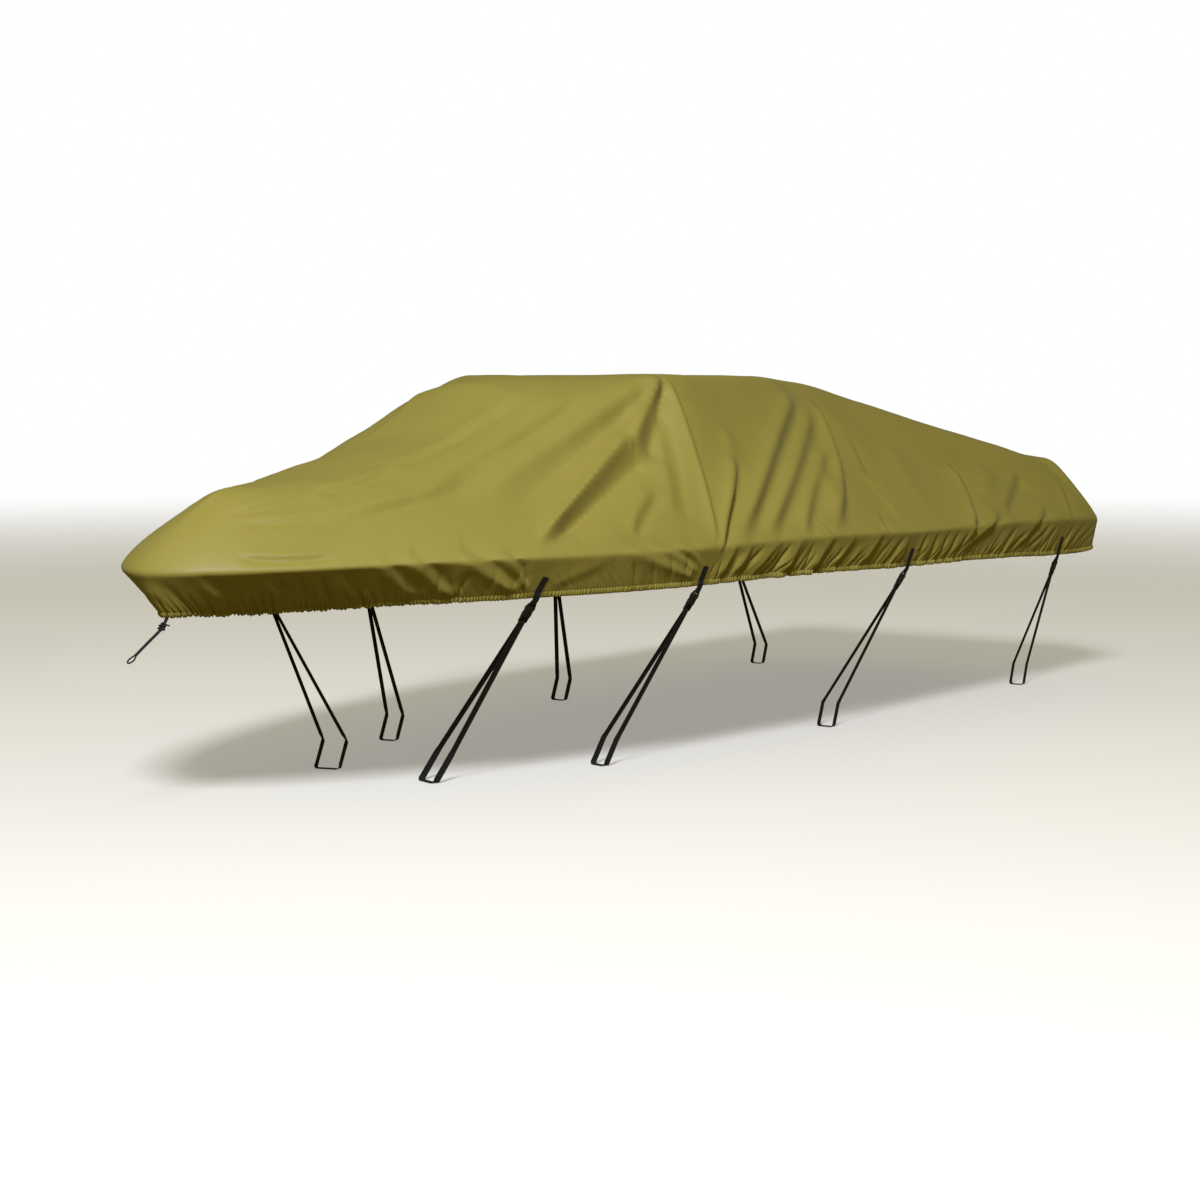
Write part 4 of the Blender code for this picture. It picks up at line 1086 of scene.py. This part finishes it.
def sweep(name, centres, across, section, material):
    """A closed section carried along centres; across is the direction of its width at each one."""
    centres = np.asarray(centres, dtype=float)
    section = np.asarray(section, dtype=float)
    count = len(section)
    around = lengths(section)
    points = []
    uvs = []
    for centre, tangent, wide, so_far in zip(centres, np.gradient(centres, axis=0), across, lengths(centres)):
        tangent = unit(tangent)
        wide = unit(wide - tangent * (wide @ tangent))
        points.append(centre + section[:, :1] * wide + section[:, 1:] * np.cross(tangent, wide))
        uvs.append(np.stack([around, np.full(count, so_far)], -1))
    numbers = np.arange(count * len(centres)).reshape(-1, count)
    faces = [face for lower, upper in zip(numbers, numbers[1:]) for face in quads(lower, upper)]
    faces += [numbers[0][::-1].tolist(), numbers[-1].tolist()]
    return outward(new_piece(name, np.concatenate(points), faces, material, np.concatenate(uvs)))


def outward(piece):
    """Turn a closed mesh's faces to point out."""
    work = bmesh.new()
    work.from_mesh(piece.data)
    bmesh.ops.recalc_face_normals(work, faces=work.faces[:])
    work.to_mesh(piece.data)
    work.free()
    return piece


def webbing_section():
    """Section of woven webbing: flat faces with a low rib at each edge, and rounded sides."""
    half = WEB_WIDTH / 2
    upper = [(half - inset, WEB_THICK / 2 + WEB_RIB * share) for inset, share in WEB_EDGE]
    side = upper + [(half, 0.0)] + [(x, -y) for x, y in reversed(upper)]
    return side[::-1] + [(-x, y) for x, y in side]


def round_section():
    """Section of cord: points round a circle."""
    angles = [2 * math.pi * index / CORD_SIDES for index in range(CORD_SIDES)]
    return [(CORD / 2 * math.cos(angle), CORD / 2 * math.sin(angle)) for angle in angles]


def stitches(work, start, end, out, pitch, thread):
    """A row of raised stitches from start to end, each a small stretched diamond."""
    count = max(int(np.linalg.norm(end - start) / pitch), 1)
    side = unit(np.cross(out, unit(end - start)))
    reach = (end - start) / count * STITCH_FILL
    for number in range(count):
        middle = start + (end - start) * (number + 0.5) / count
        tips = [work.verts.new(middle - reach), work.verts.new(middle + reach)]
        low, high = ([work.verts.new(middle + reach * shift + side * thread * a + out * thread * b)
                      for a, b in STITCH_SECTION] for shift in (-0.5, 0.5))
        for index in range(4):
            after = (index + 1) % 4
            work.faces.new((low[index], low[after], high[after], high[index]))
            work.faces.new((tips[0], low[after], low[index]))
            work.faces.new((tips[1], high[index], high[after]))


def piece_from(work, name, material):
    """A bmesh as a named piece with its faces pointing out."""
    bmesh.ops.recalc_face_normals(work, faces=work.faces[:])
    mesh = bpy.data.meshes.new(name)
    work.to_mesh(mesh)
    work.free()
    mesh.materials.append(material)
    mesh.shade_smooth()
    mesh.set_sharp_from_angle(angle=math.radians(SHARP_ANGLE))
    return add_object(name, mesh)


# Finishes.

def feed(tree, node, sockets):
    """Set a node's sockets to values, or link outputs to them."""
    for name, value in sockets.items():
        if isinstance(value, bpy.types.NodeSocket):
            tree.links.new(value, node.inputs[name])
        else:
            node.inputs[name].default_value = value


def add_node(tree, kind, sockets=None, **settings):
    """A new node with its settings and its sockets."""
    node = tree.nodes.new(kind)
    for name, value in settings.items():
        setattr(node, name, value)
    feed(tree, node, sockets or {})
    return node


def mixed(tree, share, first, second):
    """A colour between two, by share."""
    return add_node(tree, "ShaderNodeMix", {0: share, 6: (*first, 1.0), 7: (*second, 1.0)},
                    data_type="RGBA").outputs[2]


class Nodes:
    """A short way to write a material's nodes."""

    def __init__(self, name, colour, roughness):
        self.material = bpy.data.materials.new(name)
        self.material.use_nodes = True
        self.tree = self.material.node_tree
        self.shader = self.tree.nodes["Principled BSDF"]
        self.shade({"Base Color": (*colour, 1.0), "Roughness": roughness})
        place = self.add("ShaderNodeTexCoord")
        self.uv = place.outputs["UV"]
        self.body = place.outputs["Object"]

    def add(self, kind, sockets=None, **settings):
        """A new node of the material."""
        return add_node(self.tree, kind, sockets, **settings)

    def shade(self, sockets):
        """Set or link the shader's sockets."""
        feed(self.tree, self.shader, sockets)

    def math(self, operation, first, second):
        """The result of one sum."""
        return self.add("ShaderNodeMath", {0: first, 1: second}, operation=operation).outputs[0]

    def noise(self, place, scale, detail, roughness=0.5):
        """The strength of a noise."""
        return self.add("ShaderNodeTexNoise", {"Vector": place, "Scale": scale, "Detail": detail,
                                               "Roughness": roughness}).outputs["Fac"]

    def waves(self, place, pitch, direction):
        """Even bands along one axis."""
        return self.add("ShaderNodeTexWave", {"Vector": place, "Scale": BAND_SCALE / pitch},
                        wave_type="BANDS", bands_direction=direction, wave_profile="SIN").outputs["Color"]

    def tint(self, share, first, second):
        """Colour the shader between two colours, by share."""
        self.shade({"Base Color": mixed(self.tree, share, first, second)})

    def bump(self, height, strength, distance, **under):
        """Raise the surface by a height, on top of any bump under it; the last one made is shown."""
        node = self.add("ShaderNodeBump", {"Height": height, "Strength": strength, "Distance": distance,
                                           **under})
        self.shade({"Normal": node.outputs["Normal"]})
        return node.outputs["Normal"]


def cloth_finish():
    """Coated polyester: a fine plain weave, slow mottling of its olive and a faint sheen."""
    nodes = Nodes("olive cloth", OLIVE_LIGHT, 0.56)
    slow = nodes.noise(nodes.body, 1.7, 3.0, 0.55)
    fine = nodes.noise(nodes.body, 46.0, 4.0, 0.6)
    tone = nodes.math("ADD", nodes.math("MULTIPLY", slow, 0.8), nodes.math("MULTIPLY", fine, 0.25))
    nodes.tint(nodes.math("SUBTRACT", tone, 0.02), OLIVE_DARK, OLIVE_LIGHT)
    warp, weft = (nodes.waves(nodes.uv, WEAVE_PITCH, direction) for direction in "XY")
    crumple = nodes.bump(nodes.noise(nodes.body, 19.0, 5.0), 0.35, 0.004)
    nodes.bump(nodes.math("MULTIPLY", warp, weft), 0.25, 0.00012, Normal=crumple)
    nodes.shade({"Roughness": nodes.math("ADD", nodes.math("MULTIPLY", fine, 0.14), 0.47),
                 "Specular IOR Level": 0.42, "Sheen Weight": 0.05, "Sheen Roughness": 0.45})
    return nodes.material


def webbing_finish():
    """Black woven webbing with ribs across and a fine diagonal twill."""
    nodes = Nodes("black webbing", BLACK_WEB, 0.72)
    ribs = nodes.math("MULTIPLY", nodes.waves(nodes.uv, RIB_PITCH, "Y"), 0.6)
    twill = nodes.math("MULTIPLY", nodes.waves(nodes.uv, TWILL_PITCH, "DIAGONAL"), 0.4)
    nodes.bump(nodes.math("ADD", ribs, twill), 0.6, 0.0004)
    nodes.tint(nodes.noise(nodes.uv, 60.0, 4.0), BLACK_WEB, WORN_WEB)
    nodes.shade({"Specular IOR Level": 0.35})
    return nodes.material


def plastic_finish():
    """Black moulded plastic with a fine spark-eroded grain."""
    nodes = Nodes("black plastic", BLACK_PLASTIC, 0.42)
    nodes.bump(nodes.noise(nodes.body, 900.0, 3.0), 0.25, 0.0002)
    scuffs = nodes.noise(nodes.body, 55.0, 5.0)
    nodes.shade({"Roughness": nodes.math("ADD", nodes.math("MULTIPLY", scuffs, 0.25), 0.30)})
    nodes.tint(scuffs, BLACK_PLASTIC, WORN_PLASTIC)
    return nodes.material


def cord_finish():
    """Black braided cord: two crossing sets of strands, with painted shade in the grooves between them and
    lighter strand crests.
    """
    nodes = Nodes("black cord", BLACK_CORD, 0.68)
    strands = []
    for angle in (BRAID_ANGLE, -BRAID_ANGLE):
        turn = (0.0, 0.0, math.radians(angle))
        turned = nodes.add("ShaderNodeMapping", {"Vector": nodes.uv, "Rotation": turn})
        strands.append(nodes.waves(turned.outputs["Vector"], BRAID_PITCH, "X"))
    braid = nodes.math("MAXIMUM", *strands)
    nodes.bump(braid, 0.8, 0.0007)
    # the colour follows the braid's height: painted shade in the grooves, lighter on the strands' crests
    nodes.tint(braid, CORD_GROOVE_SHADE, CORD_STRAND_CREST)
    return nodes.material


def thread_finish(name, colour):
    """Sewing thread."""
    nodes = Nodes(name, colour, 0.6)
    dark = tuple(value * THREAD_SHADE for value in colour)
    nodes.tint(nodes.noise(nodes.body, 700.0, 2.0), dark, colour)
    return nodes.material


# Tie-downs.

def mirrored(points, sign):
    """Starboard points on their own side: +1 starboard, -1 port."""
    return np.asarray(points) * np.array([1.0, sign, 1.0])


def foot_centre(strap, sign):
    """The middle of the loop's mouth, level with the top of what it goes round."""
    return mirrored((strap["foot_x"], strap["foot_y"], FOOT_TOP), sign) - ORIGIN


def node_points(name):
    """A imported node's own vertices, in the row frame."""
    return read_all(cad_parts[name].data.vertices, "co", 3, float).reshape(-1, 3)


def buckle_axes(name, strap, sign):
    """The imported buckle's upper end and its axes along, across and out from the cover."""
    points = node_points(name)
    middle = points.mean(axis=0)
    aim = unit(foot_centre(strap, sign) - middle)
    along_it = (points - middle) @ aim
    flat = points - middle - along_it[:, None] * aim
    spread = np.linalg.svd(flat, full_matrices=False)[2]
    wide = unit(spread[0] - aim * (spread[0] @ aim))
    out = np.cross(wide, aim)
    out = out * np.sign(out[1] * sign)
    wide = np.cross(aim, out)
    ends = flat @ wide
    shift = wide * (ends.max() + ends.min()) / 2
    return middle + shift + aim * along_it.min(), aim, wide, out


def plate(work, outline, low, high, eased, axes):
    """An outline in the buckle's plane between two heights, with its rims eased."""
    start, aim, wide, out = axes
    lower, upper = ([work.verts.new(start + aim * x + wide * y + out * height) for x, y in outline]
                    for height in (low, high))
    made = [work.faces.new(lower[::-1]), work.faces.new(upper)]
    for index in range(len(outline)):
        after = (index + 1) % len(outline)
        made.append(work.faces.new((lower[index], lower[after], upper[after], upper[index])))
    bmesh.ops.recalc_face_normals(work, faces=made)
    if eased > 0.0:
        rims = [edge for face in made[:2] for edge in face.edges]
        bmesh.ops.bevel(work, geom=rims, offset=eased, segments=2, affect="EDGES", profile=0.6)


def both_sides(half):
    """A closed outline from its half on the +y side."""
    return list(half) + [(x, -y) for x, y in reversed(half)]


def build_buckle(name, axes, plastic):
    """A side-release buckle: two shell plates with side windows, and the pronged half with its bars."""
    work = bmesh.new()
    for outline, *heights in BUCKLE_BODY:
        plate(work, both_sides(outline), *heights, axes)
    for side in (1.0, -1.0):
        for outline, *heights in BUCKLE_SIDE:
            plate(work, [(x, side * y) for x, y in outline], *heights, axes)
    for outline, *heights in BUCKLE_BARS:
        plate(work, both_sides(outline), *heights, axes)
    return piece_from(work, name, plastic)


def tab_path(cloth, strap, sign, axes):
    """The sewn tab: down the skirt, past the hem, round the buckle's bar and back up on the outside."""
    start, aim, wide, out = axes
    run = cloth.skirt_run[0]
    half = len(run) // 2
    near = np.abs(run - tab_run(strap)) < WEB_WIDTH * 0.5
    near[half + 1:] &= sign > 0
    near[:half + 1] &= sign < 0
    patch = cloth.skirt[:-1][:, near] - ORIGIN
    normal = unit(cloth.skirt_out[:-1][:, near].mean(axis=(0, 1)))
    middles = patch.mean(axis=1)
    lifted = ((patch - middles[:, None]) @ normal).max(axis=1)
    middles = middles + normal * (lifted + TAB_LIFT)[:, None]
    across = unit((patch[:, -1] - patch[:, 0]).mean(axis=0))
    across = across * np.sign(across[0])
    girth = cloth.skirt_girth[:-1][:, near].mean(axis=1)
    top = TAB_START * (girth[0] - CASING)
    below = middles[girth < top][::-1]
    lean = np.clip((girth[girth < top][::-1] - girth[0]) / (top - girth[0]), 0.0, 1.0)
    below = below + across * strap["tab_lean"] * lean[:, None]
    down = unit(cloth.hem_down[near].mean(axis=0))
    hem, bottom = (below[-1] + down * way + normal * rise for way, rise in (TAB_AT_HEM, TAB_BELOW_HEM))
    bar = start + aim * TAB_BAR
    turn = out * (TAB_BAR_HALF + WEB_THICK * 0.5)
    lap = normal * TAB_LAP
    path = [*below[::2], hem, bottom, bar - turn * TAB_BAR_INNER, bar + aim * TAB_BAR_ROUND, bar + turn,
            bottom + lap, hem + lap]
    return smooth_path(path, TAB_PATH_FINENESS * len(path)), across, normal, hem


def build_tab(cloth, strap, sign, axes, names, finishes):
    """A sewn tab with its box of stitches and the bar of stitches that closes its loop."""
    path, across, normal, hem = tab_path(cloth, strap, sign, axes)
    wide = axes[2] if axes[2] @ across > 0 else -axes[2]
    shares = np.sin(math.pi * np.linspace(0.0, 1.0, len(path)) ** TAB_TURN_POWER)
    turned = [across * (1.0 - share) + wide * share for share in shares]
    tab = sweep(names[0], path, turned, webbing_section(), finishes["webbing"])
    work = bmesh.new()
    side = across * WEB_WIDTH * BOX_HALF
    top = path[0] * (1.0 - BOX_TOP) + path[BOX_TOP_POINT] * BOX_TOP + normal * WEB_THICK * THREAD_LIFT
    base = hem + (top - hem) * BOX_BASE
    corners = [top - side, top + side, base + side, base - side]
    lines = [*zip(corners, corners[1:] + corners[:1]), corners[0::2], corners[1::2]]
    for first, second in lines:
        stitches(work, first, second, normal, BOX_PITCH, THREAD)
    for number in range(BAR_TACKS):
        up = unit(base - hem) * (BAR_TACK_STEP * number + BAR_TACK_START)
        middle = hem + normal * (TAB_LAP + WEB_THICK * THREAD_LIFT) + up
        stitches(work, middle - side * BAR_TACK_HALF, middle + side * BAR_TACK_HALF, normal,
                 BAR_TACK_PITCH, THREAD)
    return tab, piece_from(work, names[1], finishes["dark_thread"])


def leg_path(strap, sign, axes):
    """Centres and widths of the webbing: off the bar, down, under, and up again to the bar."""
    start, aim, wide, out = axes
    turn = math.radians(strap["foot_turn"])
    bar_way = mirrored((math.cos(turn), math.sin(turn), 0.0), sign)
    inward = mirrored((math.sin(turn), -math.cos(turn), 0.0), sign)
    centre = foot_centre(strap, sign)
    outer = centre - inward * strap["foot_gap"] / 2
    inner = centre + inward * strap["foot_gap"] / 2
    clear = start + aim * BUCKLE_LENGTH + aim * LEG_CLEAR
    spread = out * LEG_SPREAD
    wrap = start + aim * LEG_BAR
    fed = start + aim * LEG_FED
    lift = out * (LEG_BAR_HALF + WEB_THICK * 0.6)
    if wide @ bar_way < 0:
        wide = -wide
    points = [wrap + lift]
    across = [wide]
    for t in np.linspace(0.0, 1.0, LEG_POINTS):
        points.append((clear + spread) * (1.0 - t) + outer * t)
        across.append(wide * (1.0 - t) + bar_way * t)
    floor = np.array([0.0, 0.0, FOOT_BOTTOM - FOOT_TOP]) - bar_way * strap["foot_slide"]
    for corner, first, second in ((outer + floor, -floor, inward), (inner + floor, -inward, -floor)):
        first = unit(first) * FOOT_CORNER
        second = unit(second) * FOOT_CORNER
        for angle in np.linspace(0.0, math.pi / 2, FOOT_CORNER_POINTS):
            points.append(corner + first * (1.0 - math.sin(angle)) + second * (1.0 - math.cos(angle)))
            across.append(bar_way)
    for t in np.linspace(0.0, 1.0, LEG_POINTS + 1):
        points.append(inner * (1.0 - t) + (clear - spread) * t)
        across.append(bar_way * (1.0 - t) + wide * t)
    points += [wrap - lift, fed - lift * 0.5]
    across += [wide, wide]
    return points, across


def build_tie_downs(cloth, finishes):
    """Every tab, buckle and leg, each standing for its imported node."""
    for side, sign in SIDES:
        for number, strap in enumerate(rows_as_dicts(STRAP_COLUMNS, STRAPS), start=1):
            label = f"{side}_{number}"
            axes = buckle_axes(f"buckle_{label}", strap, sign)
            points, across = leg_path(strap, sign, axes)
            leg = sweep(f"web_leg_{label}", points, across, webbing_section(), finishes["webbing"])
            place(leg, "webbing", f"leg_{label}")
            names = (f"web_tab_{label}", f"tab_stitches_{label}")
            tab, seam = build_tab(cloth, strap, sign, axes, names, finishes)
            place(tab, "webbing", f"tab_{label}")
            place(seam, "webbing")
            buckle = build_buckle(f"clip_{label}", axes, finishes["plastic"])
            place(buckle, "buckle", f"buckle_{label}")


def place(piece, slot, *nodes):
    """Put a piece on the part's one body and hide the nodes that it stands for. The slot is not used."""
    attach(piece, "root")
    if nodes:
        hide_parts(*nodes)


# The cord at the nose.

def knot_place():
    """The knot's middle, the eye's start and the knot's axis, halfway between the leads' and the loop's."""
    knot = np.array([KNOT_X, 0.0, KNOT_Z])
    eye = np.array([EYE_X, 0.0, EYE_Z])
    hem = smooth_skin(0.0, -1.0)
    return knot, eye, unit(unit(knot - hem) + unit(eye - knot))


def nose_points():
    """The whole cord: from the port side of the hem, through the knot, round the eye and back."""
    knot, eye, axis = knot_place()
    down = unit(eye - knot) * EYE_LENGTH
    aside = np.array([0.0, 1.0, 0.0])
    half_knot = axis * KNOT_LENGTH / 2
    middles = [knot - half_knot - axis * STRAIGHT_END, knot - half_knot, knot + half_knot,
               (knot + half_knot + eye) * 0.5, eye]
    half = [smooth_skin(0.0, -1.0) + np.array([LEAD_BACK, LEAD_GAP, -LEAD_DROP])]
    half += [middle + aside * STRAND_GAP for middle in middles]
    half += [eye + down * along_it + aside * EYE_WIDTH * out for along_it, out in EYE_SIDE]
    route = [mirrored(point, -1.0) for point in half] + [eye + down] + half[::-1]
    return np.array(route) - ORIGIN


def knot_turns():
    """The knot's cord: a short free end, its turns round the two strands, and the other free end."""
    knot, eye, axis = knot_place()
    aside = np.array([0.0, 1.0, 0.0])
    front = np.cross(aside, axis)
    turns = []
    for t in np.linspace(0.0, 1.0, TURN_POINTS):
        angle = 2.0 * math.pi * KNOT_TURNS * t - KNOT_START * math.pi
        shift = (t - 0.5) * KNOT_LENGTH * KNOT_FILL + KNOT_WAVE * math.sin(2.0 * angle)
        swell = 1.0 + KNOT_SWELL * math.sin(2.0 * math.pi * t + KNOT_SWELL_START)
        turns.append(knot - ORIGIN + axis * shift + aside * KNOT_ACROSS * swell * math.cos(angle)
                     + front * KNOT_THROUGH * swell * math.sin(angle))
    steps = np.linspace(0.0, 1.0, FREE_POINTS)[:-1, None]
    ends = []
    for turn, (back, beside, onward) in ((turns[0], FIRST_FREE), (turns[-1], LAST_FREE)):
        tip = turn + (aside * beside + axis * onward - front * back) * FREE_END
        ends.append((tip + (turn - tip) * steps)[::3])
    return smooth_path(np.concatenate([ends[0], turns[1:], ends[1][::-1]]), KNOT_POINTS), axis


def build_nose_tie(finishes):
    """The cord at the nose with the knot that gathers its two runs."""
    path = smooth_path(nose_points(), CORD_POINTS)
    across = [np.array(CORD_WIDE)] * len(path)
    cord = sweep("tie_cord", path, across, round_section(), finishes["cord"])
    turns, axis = knot_turns()
    wraps = sweep("tie_knot", turns, [axis] * len(turns), round_section(), finishes["cord"])
    place(cord, "cord", "nose_lead_port", "nose_lead_starboard", "nose_loop")
    place(wraps, "cord", "nose_knot")


# Hem stitching.

def build_hem_stitches(cloth, material):
    """The row of stitches that closes the elastic casing, one for every few columns of the hem."""
    work = bmesh.new()
    seam = cloth.skirt[0] - cloth.hem_out * (SEAM_SINK * SEAM_SHOWN) - ORIGIN
    for index in range(0, len(seam), HEM_STITCH_COLUMNS):
        after = (index + HEM_STITCH_COLUMNS - 1) % len(seam)
        stitches(work, seam[index], seam[after], cloth.hem_out[index], 1.0, HEM_THREAD)
    return piece_from(work, "hem_stitches", material)


# Camera, light and floor.

def face(thing, place_at, direction):
    """Put a camera or a light in its place, looking in a direction."""
    thing.location = place_at
    thing.rotation_euler = direction.to_track_quat("-Z", "Y").to_euler()


def add_camera():
    """The photograph's viewpoint."""
    camera = add_object("camera", bpy.data.cameras.new("camera"))
    camera.data.lens = CAMERA_LENS
    camera.data.sensor_width = CAMERA_SENSOR
    camera.data.clip_end = CAMERA_FAR
    heading = math.radians(CAMERA_HEADING)
    drop = math.radians(CAMERA_DROP)
    level = math.cos(drop)
    forward = Vector((math.cos(heading) * level, math.sin(heading) * level, -math.sin(drop)))
    face(camera, CAMERA_PLACE, forward)
    bpy.context.scene.camera = camera


def add_key():
    """The soft square key light, from the nose's port side."""
    light = bpy.data.lights.new("key", "AREA")
    light.size = KEY_SIZE
    light.energy = KEY_WATTS
    light.color = KEY_COLOUR
    face(add_object("key", light), KEY_PLACE, Vector(KEY_TARGET) - Vector(KEY_PLACE))


def add_floor():
    """A pale floor that fades into the backdrop and throws no light back up on the cloth."""
    low = CAD_BOX[0].z - FLOOR_GAP
    corners = [(x * FLOOR_REACH, y * FLOOR_REACH, low) for x, y in ((-1, -1), (1, -1), (1, 1), (-1, 1))]
    mesh = bpy.data.meshes.new("floor")
    mesh.from_pydata(corners, [], [(0, 1, 2, 3)])
    floor = add_object("floor", mesh)
    floor.visible_diffuse = False
    floor.visible_glossy = False
    nodes = Nodes("pale floor", FLOOR_COLOUR, 0.9)
    nodes.shade({"Specular IOR Level": 0.1, "Emission Color": WHITE, "Emission Strength": FLOOR_GLOW})
    away = nodes.add("ShaderNodeVectorMath", {"Vector": nodes.body}, operation="LENGTH").outputs["Value"]
    fade = nodes.add("ShaderNodeMapRange", {"Value": away, "From Min": FLOOR_CLEAR_START,
                                            "From Max": FLOOR_CLEAR_END}, interpolation_type="SMOOTHSTEP")
    clear = nodes.add("ShaderNodeBsdfTransparent").outputs[0]
    blend = nodes.add("ShaderNodeMixShader", {0: fade.outputs["Result"], 1: nodes.shader.outputs[0],
                                              2: clear})
    feed(nodes.tree, nodes.tree.nodes["Material Output"], {"Surface": blend.outputs[0]})
    mesh.materials.append(nodes.material)


def add_sky():
    """A white backdrop, and soft light that is dimmer from below."""
    world = bpy.data.worlds.new("studio")
    world.use_nodes = True
    tree = world.node_tree
    backdrop = tree.nodes["Background"]
    feed(tree, backdrop, {"Color": WHITE, "Strength": BACKDROP})
    way = add_node(tree, "ShaderNodeTexCoord").outputs["Generated"]
    split = add_node(tree, "ShaderNodeSeparateXYZ", {0: way})
    grade = add_node(tree, "ShaderNodeMapRange", {"Value": split.outputs["Z"], "From Min": SKY_GRADE[0],
                                                  "From Max": SKY_GRADE[1]})
    colour = mixed(tree, grade.outputs["Result"], SKY_BELOW, SKY_ABOVE)
    sky = add_node(tree, "ShaderNodeBackground", {"Color": colour})
    seen = add_node(tree, "ShaderNodeLightPath").outputs["Is Camera Ray"]
    mix = add_node(tree, "ShaderNodeMixShader", {0: seen, 1: sky.outputs[0], 2: backdrop.outputs[0]})
    feed(tree, tree.nodes["World Output"], {"Surface": mix.outputs[0]})
    bpy.context.scene.world = world


def add_studio():
    """Floor, sky and key light."""
    add_floor()
    add_sky()
    add_key()
    bpy.context.scene.view_settings.view_transform = "Standard"


def build():
    """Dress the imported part."""
    finishes = {"cloth": cloth_finish(), "webbing": webbing_finish(), "plastic": plastic_finish(),
                "cord": cord_finish(), "dark_thread": thread_finish("dark thread", BLACK_THREAD),
                "olive_thread": thread_finish("olive thread", OLIVE_THREAD)}
    add_camera()
    build_nose_tie(finishes)
    cloth = Cloth()
    build_tie_downs(cloth, finishes)
    canopy, *skirts = build_cloth(cloth, finishes["cloth"])
    seam = build_hem_stitches(cloth, finishes["olive_thread"])
    for piece in (canopy, *skirts):
        place(piece, "cloth", "cover")
    place(seam, "cloth")
    add_studio()


build()
